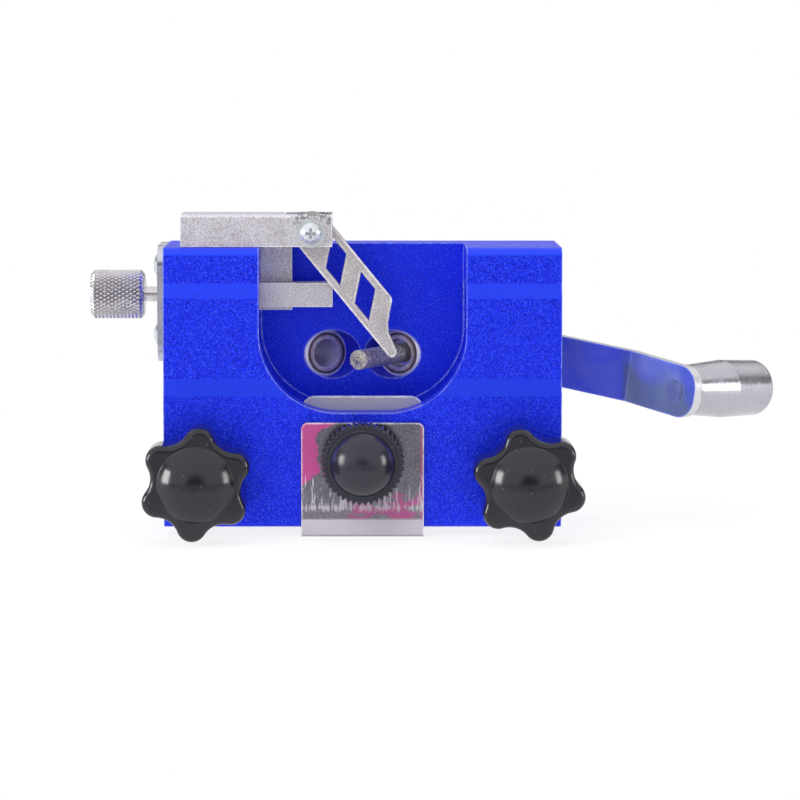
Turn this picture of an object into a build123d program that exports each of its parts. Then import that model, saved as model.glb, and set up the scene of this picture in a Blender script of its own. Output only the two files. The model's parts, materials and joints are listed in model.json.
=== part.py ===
"""Hand-cranked chain sharpener that clamps on a guide bar.

Millimetres. X runs along the guide bar, Y away from the viewer, Z up.
The origin is the middle of the face that the guide bar is pressed against.
"""
import math
import os

from build123d import *

os.makedirs("parts", exist_ok=True)

# General clearances
overrun = 1.0
run_gap = 0.05
slide_gap = 0.15

# Extruded body: front wall, bridge and back wall round the bar slot
body_width = 80.0
body_height = 56.3
seat_drop = 11.0
slot_width = 8.0
slot_height = 21.0
recess_depth = 5.0
bridge_depth = 7.4
back_wall = 10.0
wall_low = 5.5
wall_mid = 4.8
wall_high = 4.1
low_step_height = 26.6
low_step_rise = 3.4
high_step_drop = 10.1
high_step_rise = 3.0
bottom_round = 1.5
top_round = 1.8
back_round = 1.5
groove_width = 1.0
groove_depth = 0.9
groove_back = 2.8

# Round-bottomed window in the front wall
window_width = 41.7
window_floor = 23.2
window_round = 16.0
window_overcut = 0.3

# Two guide bushes, crossed at the cutting angle
bush_angle = 30.0
bush_offset = 6.0
bush_height = 33.3
bush_outer = 10.0
bush_bore = 6.0
bush_set_back = 2.9
bush_length = 22.4
bush_chamfer = 0.5

# Spindle, grinding burr and stop collar
spindle_end = 33.0
spindle_start = 5.0
burr_diameter = 4.0
burr_reach = 15.0
burr_shank = 2.6
burr_grip = 14.0
burr_nose_share = 0.542
collar_outer = 11.0
collar_length = 5.5
collar_gap = 0.3
set_screw_diameter = 3.0

# Crank arm, bent once towards the body, and its screw and washer
crank_drop_angle = 8.2
crank_fold_angle = 19.5
crank_inner = 38.8
crank_outer = 13.6
crank_tail_length = 5.4
crank_end_length = 5.6
arm_width = 10.8
arm_thick = 2.0
arm_round = 4.4
crank_screw_diameter = 4.0
crank_screw_length = 9.0
crank_head_diameter = 7.4
crank_head_height = 2.4
socket_share = 0.36
crank_washer_diameter = 9.0
crank_washer_thick = 0.8

# Turned grip on its rivet pin
grip_length = 22.4
grip_small = 10.2
grip_large = 12.1
grip_end = 11.6
grip_swell_share = 0.5
grip_round = 1.4
grip_gap = 0.4
pin_diameter = 5.0
pin_rivet = 4.6
rivet_proud = 0.3
pin_head_diameter = 8.0
pin_head_height = 1.6
pin_recess = 2.4

# Pawl carriage: folded channel, slide bar and pivot screw
carriage_inset = 3.4
carriage_right = -6.1
channel_front = 2.3
channel_depth = 12.1
channel_height = 6.5
channel_wall = 1.5
channel_gap = 0.1
web_left = -24.0
web_right = -14.4
web_foot = 1.0
bar_inset = 3.2
bar_tall = 4.9
bar_deep = 5.0
bar_end_gap = 0.15
notch_left = -15.6
carriage_back_travel = 1.5
carriage_travel = 3.5
pivot_x = -10.4
pivot_drop = 3.7
pivot_diameter = 2.5
pivot_head_diameter = 4.2
pivot_head_height = 1.5
pivot_washer_diameter = 5.9
pivot_washer_thick = 0.5
pivot_nut_flats = 4.6
pivot_nut_thick = 1.8

# Pawl: a pierced arm with a claw at its end
pawl_thick = 2.2
pawl_back_gap = 0.3
claw_beyond_bush = 2.69
claw_above_bush = 2.6
pawl_above = 4.2
pawl_below = 3.8
pawl_claw_share = 0.68
claw_foot_share = 0.86
claw_outline_shares = ((0, 1), (0.07, 0.9), (0.38, 0.08), (0.54, -0.17), (0.89, -0.4))
claw_nose_share = -0.76
pawl_eye_shares = (0.115, 0.421)
pawl_eye_step_share = 0.148
pawl_eye_slant_share = 0.135
pawl_rim = 1.5
pawl_spacer_diameter = 5.0

# Thumb screw, its retaining ring, and the end bracket
thumb_diameter = 10.0
thumb_length = 10.9
thumb_neck = 3.0
thumb_neck_length = 2.7
thumb_reach = 18.0
thumb_chamfer = 0.8
ring_diameter = 4.8
ring_thick = 0.8
bracket_thick = 1.6
bracket_front = 6.0
bracket_back = 14.0
bracket_height = 23.7
bracket_round = 4.0
bracket_screw_drops = (19.3, 4.9)
bracket_screw_diameter = 3.0
bracket_screw_length = 7.0
pan_head_diameter = 5.8
pan_head_height = 1.9
driver_depth_share = 0.6

# Depth clip folded round the lower edge of the front wall, and its lock knob
clip_width = 24.6
clip_thick = 1.2
clip_front_height = 21.4
clip_inner_height = 26.0
clip_front_round = 1.3
clip_inner_round = 2.6
clip_under_gap = 0.5
clip_travel = 4.0
clip_slot_width = 5.0
clip_slot_spare = 0.8
clip_bend = 1.0
lock_height = 14.0
lock_screw_diameter = 4.0
lock_washer_diameter = 10.0
lock_washer_thick = 0.8
lock_skirt_diameter = 16.6
lock_skirt_depth = 6.5
lock_dome_diameter = 13.2
lock_dome_height = 4.6
lock_neck_depth = 1.2
lock_teeth = 42
lock_tooth_depth = 0.8

# Star knobs, their studs and the clamp pads
star_lobe_radius = 3.0
star_inset = 7.1
star_height = 10.5
star_tip = 11.4
star_valley = 9.0
star_lobes = 6
star_thick = 8.0
star_edge_round = 1.3
star_boss_diameter = 12.0
star_boss_length = 2.5
star_dome_diameter = 15.2
star_dome_height = 3.6
star_stand_off = 0.6
star_turn_angles = {"left": 24.5, "right": 43.0}
stud_diameter = 5.0
stud_depth = 6.5
stud_tip_diameter = 3.6
stud_tip_length = 1.2
pad_diameter = 11.0
pad_thick = 1.8
pad_travel = 3.0

# Places worked out from the sizes above
bottom = -seat_drop
top = bottom + body_height
half_body = body_width / 2
carriage_left = carriage_inset - half_body
bar_left = bar_inset - half_body
inner_face = -slot_width
front_low = inner_face - wall_low
front_mid = inner_face - wall_mid
front_high = inner_face - wall_high
back_face = recess_depth + back_wall
bridge_under = top - bridge_depth
slot_roof = bottom + slot_height


def facing(x, y, z):
    """Plane that looks at the viewer, with its y up and its x to the right."""
    return Plane(origin=(x, y, z), x_dir=(1, 0, 0), z_dir=(0, -1, 0))


def lathe_plane(origin, out, side):
    """Plane whose x is a turned piece's radius and whose y runs out along its axis."""
    return Plane(origin=origin, x_dir=side, z_dir=side.cross(out))


def cap_middle(radius, height):
    """Point half-way along the arc of a shallow round cap, from its rim to its top."""
    ball = (radius**2 + height**2) / (2 * height)
    half = math.asin(radius / ball) / 2
    return Vector(ball * math.sin(half), height - ball + ball * math.cos(half))


def save(piece, name):
    """Label a finished piece and write it."""
    piece.part.label = name
    export_step(piece.part, f"parts/{name}.step")


to_viewer = Vector(0, -1, 0)
to_right = Vector(1, 0, 0)
to_left = Vector(-1, 0, 0)
upward = Vector(0, 0, 1)

angle = math.radians(bush_angle)
bush_out = {
    "left": Vector(-math.sin(angle), math.cos(angle), 0),
    "right": Vector(math.sin(angle), math.cos(angle), 0),
}
bush_mouth = {
    "left": Vector(-bush_offset, recess_depth, bottom + bush_height),
    "right": Vector(bush_offset, recess_depth, bottom + bush_height),
}
star_x = {"left": star_inset - half_body, "right": half_body - star_inset}
star_z = bottom + star_height
lock_z = bottom + lock_height

# The body: one extrusion, then the window, bores and tapped holes
with BuildPart() as body:
    with BuildSketch(Plane.YZ.offset(-half_body)) as section:
        with BuildLine():
            Polyline(
                (front_low, bottom),
                (front_low, bottom + low_step_height),
                (front_mid, bottom + low_step_height + low_step_rise),
                (front_mid, top - high_step_drop),
                (front_high, top - high_step_drop + high_step_rise),
                (front_high, top),
                (back_face, top),
                (back_face, bottom),
                (0, bottom),
                (0, slot_roof),
                (recess_depth, slot_roof),
                (recess_depth, bridge_under),
                (inner_face, bridge_under),
                (inner_face, bottom),
                close=True,
            )
        make_face()
        # inside a sketch, its own x is the depth and its own y is the height
        fillet(section.vertices().group_by(Axis.Y)[-1].sort_by(Axis.X)[0], top_round)
        fillet(section.vertices().group_by(Axis.Y)[-1].sort_by(Axis.X)[-1], back_round)
        fillet(section.vertices().group_by(Axis.Y)[0].sort_by(Axis.X)[0], bottom_round)
        fillet(section.vertices().group_by(Axis.Y)[0].sort_by(Axis.X)[-1], back_round)
    extrude(amount=body_width)
    # the window goes through the front wall and the bridge, just into the back wall
    window_end = recess_depth + window_overcut
    with BuildSketch(facing(0, window_end, bottom + window_floor)) as window:
        with Locations((0, (body_height - window_floor) / 2 + window_round / 2)):
            Rectangle(window_width, body_height - window_floor + window_round)
        fillet(window.vertices().group_by(Axis.Y)[0], window_round)
    extrude(amount=window_end - front_low + overrun, mode=Mode.SUBTRACT)
    # a shallow line along the top, where the two walls meet the bridge
    with BuildSketch(Plane.YZ.offset(-half_body)):
        with Locations((-groove_back, top)):
            Rectangle(groove_width, groove_depth * 2)
    extrude(amount=body_width, mode=Mode.SUBTRACT)
    # slot in the bridge for the web of the pawl carriage
    web_front = front_high + channel_front + channel_depth - channel_wall
    slot_start = web_left - carriage_back_travel - slide_gap
    with BuildSketch(Plane.XY.offset(bridge_under)):
        with Locations(((slot_start - window_width / 2) / 2, web_front + channel_wall / 2)):
            Rectangle(-window_width / 2 - slot_start + overrun, channel_wall + slide_gap * 2)
    extrude(amount=bridge_depth, mode=Mode.SUBTRACT)
    for side in ("left", "right"):
        # bores for the guide bushes, right through the back wall
        reach = bush_outer
        start = bush_mouth[side] - bush_out[side] * reach
        with BuildSketch(Plane(origin=start, x_dir=upward, z_dir=bush_out[side])):
            Circle(bush_outer / 2)
        extrude(amount=reach + back_wall / math.cos(angle) + reach, mode=Mode.SUBTRACT)
        # tapped holes for the clamp studs
        with BuildSketch(facing(star_x[side], inner_face, star_z)):
            Circle(stud_diameter / 2 + run_gap)
        extrude(amount=wall_low + overrun, mode=Mode.SUBTRACT)
    with BuildSketch(facing(0, inner_face, lock_z)):
        Circle(lock_screw_diameter / 2 + run_gap)
    extrude(amount=wall_low + overrun, mode=Mode.SUBTRACT)
    bracket_screw_y = recess_depth + back_wall / 2
    with BuildSketch(Plane.YZ.offset(-half_body)):
        for drop in bracket_screw_drops:
            with Locations((bracket_screw_y, top - drop)):
                Circle(bracket_screw_diameter / 2)
    extrude(amount=bracket_screw_length, mode=Mode.SUBTRACT)
save(body, "body")

# Guide bushes, open at both ends
for side in ("left", "right"):
    seat = bush_mouth[side] + bush_out[side] * bush_set_back
    with BuildPart() as bush:
        with BuildSketch(Plane(origin=seat, x_dir=upward, z_dir=bush_out[side])):
            Circle(bush_outer / 2)
            Circle(bush_bore / 2 + run_gap, mode=Mode.SUBTRACT)
        extrude(amount=bush_length)
        rims = bush.edges().filter_by(GeomType.CIRCLE).sort_by(SortBy.RADIUS)[-2:]
        chamfer(rims, bush_chamfer)
    save(bush, f"bush_{side}")

# Spindle in the right bush, with the burr held in its nose
axis_out = bush_out["right"]
mouth = bush_mouth["right"]
arm_out = Vector(math.cos(angle), -math.sin(angle), 0)
drop = math.radians(crank_drop_angle)
arm_dir = arm_out * math.cos(drop) - upward * math.sin(drop)
spindle_tail = mouth + axis_out * spindle_end
screw_depth = crank_screw_length - arm_thick - crank_washer_thick

with BuildPart() as spindle:
    with BuildSketch(Plane(origin=mouth + axis_out * spindle_start, x_dir=upward, z_dir=axis_out)):
        Circle(bush_bore / 2)
    extrude(amount=spindle_end - spindle_start)
    with BuildSketch(Plane(origin=mouth + axis_out * spindle_start, x_dir=upward, z_dir=axis_out)):
        Circle(burr_shank / 2)
    extrude(amount=burr_grip, mode=Mode.SUBTRACT)
    with BuildSketch(Plane(origin=spindle_tail, x_dir=upward, z_dir=-axis_out)):
        Circle(crank_screw_diameter / 2)
    extrude(amount=screw_depth, mode=Mode.SUBTRACT)
save(spindle, "spindle")

burr_tip = mouth - axis_out * burr_reach
burr_head = burr_reach + spindle_start - run_gap
with BuildPart() as burr:
    with BuildSketch(lathe_plane(burr_tip, axis_out, upward)):
        with BuildLine():
            nose = RadiusArc(
                (0, 0), (burr_diameter / 2, burr_diameter / 3), burr_diameter * burr_nose_share
            )
            Polyline(
                nose @ 1,
                (burr_diameter / 2, burr_head),
                (burr_shank / 2, burr_head),
                (burr_shank / 2, burr_head + burr_grip),
                (0, burr_head + burr_grip),
                (0, 0),
            )
        make_face()
    revolve(axis=Axis(burr_tip, axis_out))
save(burr, "burr")

collar_start = bush_set_back + bush_length + collar_gap
collar_mid = mouth + axis_out * (collar_start + collar_length / 2)
with BuildPart() as collar:
    with BuildSketch(
        Plane(origin=mouth + axis_out * collar_start, x_dir=upward, z_dir=axis_out)
    ):
        Circle(collar_outer / 2)
        Circle(bush_bore / 2, mode=Mode.SUBTRACT)
    extrude(amount=collar_length)
    chamfer(collar.edges().filter_by(GeomType.CIRCLE).sort_by(SortBy.RADIUS)[-2:], bush_chamfer)
    with BuildSketch(Plane(origin=collar_mid, x_dir=axis_out, z_dir=upward)):
        Circle(set_screw_diameter / 2)
    extrude(amount=collar_outer, mode=Mode.SUBTRACT)
save(collar, "stop_collar")

with BuildPart() as set_screw:
    with BuildSketch(
        Plane(origin=collar_mid + upward * (bush_bore / 2), x_dir=axis_out, z_dir=upward)
    ):
        Circle(set_screw_diameter / 2)
    extrude(amount=(collar_outer - bush_bore) / 2)
    with BuildSketch(
        Plane(origin=collar_mid + upward * (collar_outer / 2), x_dir=axis_out, z_dir=-upward)
    ):
        RegularPolygon(set_screw_diameter / 4, 6)
    extrude(amount=(collar_outer - bush_bore) / 4, mode=Mode.SUBTRACT)
save(set_screw, "collar_screw")

# Crank arm: flat strip with one bend, drilled for its screw and for the grip pin
fold = math.radians(crank_fold_angle)
outer_dir = arm_dir * math.cos(fold) - axis_out * math.sin(fold)
outer_out = axis_out * math.cos(fold) + arm_dir * math.sin(fold)
pin_point = spindle_tail + arm_dir * crank_inner + outer_dir * crank_outer
outer_run = crank_outer + crank_end_length
fold_shift = arm_thick * math.tan(fold / 2)

with BuildPart() as crank_arm:
    with BuildSketch(
        Plane(origin=spindle_tail, x_dir=arm_dir, z_dir=arm_dir.cross(axis_out))
    ):
        with BuildLine():
            Polyline(
                (-crank_tail_length, 0),
                (crank_inner, 0),
                (
                    crank_inner + outer_run * math.cos(fold),
                    -outer_run * math.sin(fold),
                ),
                (
                    crank_inner + outer_run * math.cos(fold) + arm_thick * math.sin(fold),
                    -outer_run * math.sin(fold) + arm_thick * math.cos(fold),
                ),
                (crank_inner + fold_shift, arm_thick),
                (-crank_tail_length, arm_thick),
                close=True,
            )
        make_face()
    extrude(amount=arm_width / 2, both=True)
    corners = crank_arm.edges().filter_by(lambda e: abs(e.length - arm_thick) < run_gap)
    fillet(corners, arm_round)
    with BuildSketch(Plane(origin=spindle_tail, x_dir=arm_dir, z_dir=axis_out)):
        Circle(crank_screw_diameter / 2)
    extrude(amount=arm_thick, mode=Mode.SUBTRACT)
    with BuildSketch(Plane(origin=pin_point, x_dir=outer_dir, z_dir=outer_out)):
        Circle(pin_rivet / 2)
    extrude(amount=arm_thick, mode=Mode.SUBTRACT)
save(crank_arm, "crank_arm")

arm_back = spindle_tail + axis_out * arm_thick
with BuildPart() as crank_washer:
    with BuildSketch(Plane(origin=arm_back, x_dir=arm_dir, z_dir=axis_out)):
        Circle(crank_washer_diameter / 2)
        Circle(crank_screw_diameter / 2, mode=Mode.SUBTRACT)
    extrude(amount=crank_washer_thick)
save(crank_washer, "crank_washer")

head_seat = arm_back + axis_out * crank_washer_thick
with BuildPart() as crank_screw:
    with BuildSketch(Plane(origin=head_seat, x_dir=arm_dir, z_dir=-axis_out)):
        Circle(crank_screw_diameter / 2)
    extrude(amount=crank_screw_length)
    with BuildSketch(Plane(origin=head_seat, x_dir=arm_dir, z_dir=axis_out)):
        Circle(crank_head_diameter / 2)
    extrude(amount=crank_head_height)
    fillet(crank_screw.faces().sort_by(Axis(head_seat, axis_out))[-1].edges(), crank_head_height / 2)
    with BuildSketch(
        Plane(origin=head_seat + axis_out * crank_head_height, x_dir=arm_dir, z_dir=-axis_out)
    ):
        RegularPolygon(crank_screw_diameter * socket_share, 6)
    extrude(amount=crank_head_height / 2, mode=Mode.SUBTRACT)
save(crank_screw, "crank_screw")

# Grip and the shouldered pin that it turns on
pin_back = pin_point + outer_out * arm_thick
grip_start = pin_back + outer_out * grip_gap
grip_plane = lathe_plane(grip_start, outer_out, outer_dir)
recess_start = grip_length - pin_recess
with BuildPart() as grip:
    with BuildSketch(grip_plane) as profile:
        with BuildLine():
            Polyline(
                (pin_diameter / 2 + run_gap, 0),
                (grip_small / 2, 0),
                (grip_large / 2, grip_length * grip_swell_share),
                (grip_end / 2, grip_length),
                (pin_head_diameter / 2 + slide_gap, grip_length),
                (pin_head_diameter / 2 + slide_gap, recess_start),
                (pin_diameter / 2 + run_gap, recess_start),
                close=True,
            )
        make_face()
    revolve(axis=Axis(grip_start, outer_out))
    ends = grip.edges().filter_by(GeomType.CIRCLE).sort_by(Axis(grip_start, outer_out))
    fillet(ends[-2:].sort_by(SortBy.RADIUS)[-1], grip_round)
    fillet(ends[:2].sort_by(SortBy.RADIUS)[-1], grip_round / 2)
save(grip, "grip")

pin_run = grip_gap + recess_start + slide_gap
with BuildPart() as grip_pin:
    with BuildSketch(lathe_plane(pin_point, outer_out, outer_dir)):
        with BuildLine():
            Polyline(
                (0, -rivet_proud),
                (pin_rivet / 2, -rivet_proud),
                (pin_rivet / 2, arm_thick),
                (pin_diameter / 2, arm_thick),
                (pin_diameter / 2, arm_thick + pin_run),
                (pin_head_diameter / 2, arm_thick + pin_run),
                (pin_head_diameter / 2, arm_thick + pin_run + pin_head_height),
                (0, arm_thick + pin_run + pin_head_height),
                close=True,
            )
        make_face()
    revolve(axis=Axis(pin_point, outer_out))
save(grip_pin, "grip_pin")

# Pawl carriage: a folded channel with a web, welded to the slide bar below the bridge
channel_y = front_high + channel_front
channel_foot = top + channel_gap
channel_roof = channel_foot + channel_height
plate_front = channel_y + channel_depth - channel_wall
bar_roof = bridge_under - bar_end_gap
bar_z = bar_roof - bar_tall / 2
bar_back = plate_front
bar_front = bar_back - bar_deep
bar_y = bar_back - bar_deep / 2
pawl_back = bar_front - pawl_back_gap
pawl_front = pawl_back - pawl_thick
pivot_z = channel_roof - pivot_drop
carriage_mid = (carriage_left + carriage_right) / 2
carriage_long = carriage_right - carriage_left

with BuildPart() as pawl_channel:
    with BuildSketch(Plane.YZ.offset(carriage_left)) as fold_section:
        with Locations((channel_y + channel_depth / 2, channel_foot + channel_height / 2)):
            Rectangle(channel_depth, channel_height)
        with Locations((channel_y + channel_depth / 2, channel_foot + channel_height / 2 - channel_wall)):
            Rectangle(channel_depth - channel_wall * 2, channel_height, mode=Mode.SUBTRACT)
    extrude(amount=carriage_long)
    with BuildSketch(facing(0, plate_front + channel_wall, 0)):
        web_low = bar_roof - bar_tall - web_foot
        with Locations(((web_left + web_right) / 2, (web_low + channel_foot) / 2)):
            Rectangle(web_right - web_left, channel_foot - web_low)
    extrude(amount=channel_wall)
    # the roof is open over the pawl, so that its heel can turn
    with BuildSketch(Plane.XY.offset(channel_roof)):
        with Locations(((notch_left + carriage_right) / 2, channel_y + channel_depth / 2)):
            Rectangle(carriage_right - notch_left, channel_depth - channel_wall * 2)
    extrude(amount=-channel_wall * 2, mode=Mode.SUBTRACT)
    top_edges = pawl_channel.edges().filter_by(Axis.X).group_by(Axis.Z)[-1].sort_by(Axis.Y)
    fillet([top_edges[0], top_edges[-1]], channel_wall / 2)
    with BuildSketch(facing(pivot_x, plate_front + channel_wall, pivot_z)):
        Circle(pivot_diameter / 2)
    extrude(amount=channel_depth, mode=Mode.SUBTRACT)
save(pawl_channel, "pawl_channel")

thumb_bore = thumb_reach + carriage_travel
with BuildPart() as slide_bar:
    with BuildSketch(Plane.YZ.offset(bar_left)):
        with Locations((bar_y, bar_z)):
            Rectangle(bar_deep, bar_tall)
    extrude(amount=carriage_right - bar_left)
    with BuildSketch(Plane.YZ.offset(bar_left)):
        with Locations((bar_y, bar_z)):
            Circle(thumb_neck / 2 + run_gap)
    extrude(amount=thumb_bore, mode=Mode.SUBTRACT)
save(slide_bar, "slide_bar")

with BuildPart() as pivot_screw:
    with BuildSketch(lathe_plane(Vector(pivot_x, channel_y - pivot_washer_thick, pivot_z), to_viewer, to_right)):
        with BuildLine():
            shank = channel_depth + pivot_washer_thick + pivot_nut_thick
            Line((0, -shank), (pivot_diameter / 2, -shank))
            Line((pivot_diameter / 2, -shank), (pivot_diameter / 2, 0))
            Line((pivot_diameter / 2, 0), (pivot_head_diameter / 2, 0))
            edge = pivot_head_height / 4
            Line((pivot_head_diameter / 2, 0), (pivot_head_diameter / 2, edge))
            ThreePointArc(
                (pivot_head_diameter / 2, edge),
                cap_middle(pivot_head_diameter / 2, pivot_head_height - edge) + Vector(0, edge),
                (0, pivot_head_height),
            )
            Line((0, pivot_head_height), (0, -shank))
        make_face()
    revolve(
        axis=Axis(Vector(pivot_x, channel_y - pivot_washer_thick, pivot_z), to_viewer)
    )
    # crossed driver recess
    with BuildSketch(facing(pivot_x, channel_y - pivot_washer_thick - pivot_head_height, pivot_z)):
        Rectangle(pivot_head_diameter / 2, pivot_head_diameter / 8)
        Rectangle(pivot_head_diameter / 8, pivot_head_diameter / 2)
    extrude(amount=-pivot_head_height * driver_depth_share, mode=Mode.SUBTRACT)
save(pivot_screw, "pivot_screw")

with BuildPart() as pivot_washer:
    with BuildSketch(facing(pivot_x, channel_y, pivot_z)):
        Circle(pivot_washer_diameter / 2)
        Circle(pivot_diameter / 2, mode=Mode.SUBTRACT)
    extrude(amount=pivot_washer_thick)
save(pivot_washer, "pivot_washer")

with BuildPart() as pivot_nut:
    with BuildSketch(facing(pivot_x, channel_y + channel_depth, pivot_z)):
        RegularPolygon(pivot_nut_flats / 2, 6, major_radius=False)
        Circle(pivot_diameter / 2, mode=Mode.SUBTRACT)
    extrude(amount=-pivot_nut_thick)
save(pivot_nut, "pivot_nut")

with BuildPart() as pivot_spacer:
    with BuildSketch(facing(pivot_x, pawl_front - slide_gap, pivot_z)):
        Circle(pawl_spacer_diameter / 2)
        Circle(pivot_diameter / 2, mode=Mode.SUBTRACT)
    extrude(amount=pawl_front - slide_gap - channel_y - channel_wall)
save(pivot_spacer, "pivot_spacer")

# Pawl: parallel-sided arm, two slanted eyes and a claw
# its nose ends beside the right bush's mouth, above the burr
pawl_nose = bush_mouth["right"] + to_right * claw_beyond_bush + upward * claw_above_bush
pawl_run = Vector(pawl_nose.X - pivot_x, 0, pawl_nose.Z - pivot_z)
pawl_length = pawl_run.length
pawl_dir = pawl_run.normalized()
pawl_plane = Plane(origin=(pivot_x, pawl_back, pivot_z), x_dir=pawl_dir, z_dir=(0, -1, 0))
claw_start = pawl_length * pawl_claw_share
claw_heel = pawl_length - claw_start
with BuildPart() as pawl:
    with BuildSketch(pawl_plane) as arm_outline:
        with BuildLine():
            lower = Line((0, -pawl_below), (claw_start + claw_heel * claw_foot_share, -pawl_below))
            upper = Polyline(
                *[(claw_start + claw_heel * along, pawl_above * rise) for along, rise in claw_outline_shares]
            )
            ThreePointArc(upper @ 1, (pawl_length, pawl_above * claw_nose_share), lower @ 1)
            Line((0, pawl_above), upper @ 0)
            middle = (pawl_above - pawl_below) / 2
            ThreePointArc((0, pawl_above), (-pawl_below - middle, middle), (0, -pawl_below))
        make_face()
    extrude(amount=pawl_thick)
    with BuildSketch(pawl_plane):
        for share in pawl_eye_shares:
            with BuildLine():
                start = pawl_length * share
                step = pawl_length * pawl_eye_step_share
                slant = pawl_length * pawl_eye_slant_share
                Polyline(
                    (start, pawl_above - pawl_rim),
                    (start + step, pawl_above - pawl_rim),
                    (start + slant + step, -pawl_below + pawl_rim),
                    (start + slant, -pawl_below + pawl_rim),
                    close=True,
                )
            make_face()
    extrude(amount=pawl_thick, mode=Mode.SUBTRACT)
    with BuildSketch(pawl_plane):
        Circle(pivot_diameter / 2 + run_gap)
    extrude(amount=pawl_thick, mode=Mode.SUBTRACT)
save(pawl, "pawl")

# End bracket, its screws, the thumb screw and its retaining ring
bracket_face = -half_body - bracket_thick
with BuildPart() as end_bracket:
    with BuildSketch(Plane.YZ.offset(bracket_face)) as plate:
        with Locations(((bracket_back - bracket_front) / 2, top - bracket_height / 2)):
            Rectangle(bracket_back + bracket_front, bracket_height)
        fillet(plate.vertices(), bracket_round)
        with Locations((bar_y, bar_z)):
            Circle(thumb_neck / 2 + run_gap, mode=Mode.SUBTRACT)
        for drop in bracket_screw_drops:
            with Locations((bracket_screw_y, top - drop)):
                Circle(bracket_screw_diameter / 2, mode=Mode.SUBTRACT)
    extrude(amount=bracket_thick)
save(end_bracket, "end_bracket")

with BuildPart() as bracket_screws:
    for drop in bracket_screw_drops:
        seat = Vector(bracket_face, bracket_screw_y, top - drop)
        with BuildSketch(lathe_plane(seat, to_left, upward)):
            with BuildLine():
                shank = bracket_screw_length + bracket_thick
                Line((0, -shank), (bracket_screw_diameter / 2, -shank))
                Line((bracket_screw_diameter / 2, -shank), (bracket_screw_diameter / 2, 0))
                Line((bracket_screw_diameter / 2, 0), (pan_head_diameter / 2, 0))
                edge = pan_head_height / 4
                Line((pan_head_diameter / 2, 0), (pan_head_diameter / 2, edge))
                ThreePointArc(
                    (pan_head_diameter / 2, edge),
                    cap_middle(pan_head_diameter / 2, pan_head_height - edge) + Vector(0, edge),
                    (0, pan_head_height),
                )
                Line((0, pan_head_height), (0, -shank))
            make_face()
        revolve(axis=Axis(seat, to_left))
        with BuildSketch(Plane.YZ.offset(bracket_face - pan_head_height)):
            with Locations((bracket_screw_y, top - drop)):
                Rectangle(pan_head_diameter / 2, pan_head_diameter / 8)
                Rectangle(pan_head_diameter / 8, pan_head_diameter / 2)
        extrude(amount=pan_head_height * driver_depth_share, mode=Mode.SUBTRACT)
save(bracket_screws, "bracket_screws")

thumb_seat = Vector(bracket_face, bar_y, bar_z)
with BuildPart() as thumb_screw:
    with BuildSketch(lathe_plane(thumb_seat, to_left, upward)):
        with BuildLine():
            Polyline(
                (0, -bracket_thick - thumb_reach),
                (thumb_neck / 2, -bracket_thick - thumb_reach),
                (thumb_neck / 2, thumb_neck_length),
                (thumb_diameter / 2 - thumb_chamfer, thumb_neck_length),
                (thumb_diameter / 2, thumb_neck_length + thumb_chamfer),
                (thumb_diameter / 2, thumb_neck_length + thumb_length - thumb_chamfer),
                (thumb_diameter / 2 - thumb_chamfer, thumb_neck_length + thumb_length),
                (0, thumb_neck_length + thumb_length),
                close=True,
            )
        make_face()
    revolve(axis=Axis(thumb_seat, to_left))
save(thumb_screw, "thumb_screw")

with BuildPart() as thumb_ring:
    with BuildSketch(Plane.YZ.offset(-half_body + slide_gap)):
        with Locations((bar_y, bar_z)):
            Circle(ring_diameter / 2)
            Circle(thumb_neck / 2, mode=Mode.SUBTRACT)
    extrude(amount=ring_thick)
save(thumb_ring, "thumb_ring")

# Depth clip: front leg with a slot, web below the wall, inner leg behind it
clip_front = front_low - slide_gap - clip_thick
clip_back = inner_face + slide_gap + clip_thick
clip_foot = bottom - clip_under_gap - clip_thick
with BuildPart() as depth_clip:
    with BuildSketch(Plane.YZ.offset(-clip_width / 2)) as hook:
        with BuildLine():
            Polyline(
                (clip_front, clip_foot),
                (clip_front, bottom + clip_front_height),
                (clip_front + clip_thick, bottom + clip_front_height),
                (clip_front + clip_thick, clip_foot + clip_thick),
                (clip_back - clip_thick, clip_foot + clip_thick),
                (clip_back - clip_thick, bottom + clip_inner_height),
                (clip_back, bottom + clip_inner_height),
                (clip_back, clip_foot),
                close=True,
            )
        make_face()
        fillet(hook.vertices().group_by(Axis.Y)[0], clip_bend)
    extrude(amount=clip_width)
    # rounded upper corners on both legs
    tips = depth_clip.edges().filter_by(Axis.Y).filter_by(lambda e: e.center().Z > lock_z).sort_by(Axis.Y)
    fillet(tips[:2], clip_front_round)
    fillet(tips[2:], clip_inner_round)
    # the slot has room to spare below the stud only
    slot_mid = lock_z + (clip_travel - clip_slot_spare) / 2
    with BuildSketch(facing(0, clip_front + clip_thick, slot_mid)):
        SlotCenterToCenter(clip_travel + clip_slot_spare, clip_slot_width, rotation=90)
    extrude(amount=clip_thick, mode=Mode.SUBTRACT)
save(depth_clip, "depth_clip")

washer_face = clip_front - slide_gap - lock_washer_thick
with BuildPart() as lock_washer:
    with BuildSketch(facing(0, clip_front - slide_gap, lock_z)):
        Circle(lock_washer_diameter / 2)
        Circle(lock_screw_diameter / 2, mode=Mode.SUBTRACT)
    extrude(amount=lock_washer_thick)
save(lock_washer, "lock_washer")

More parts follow.
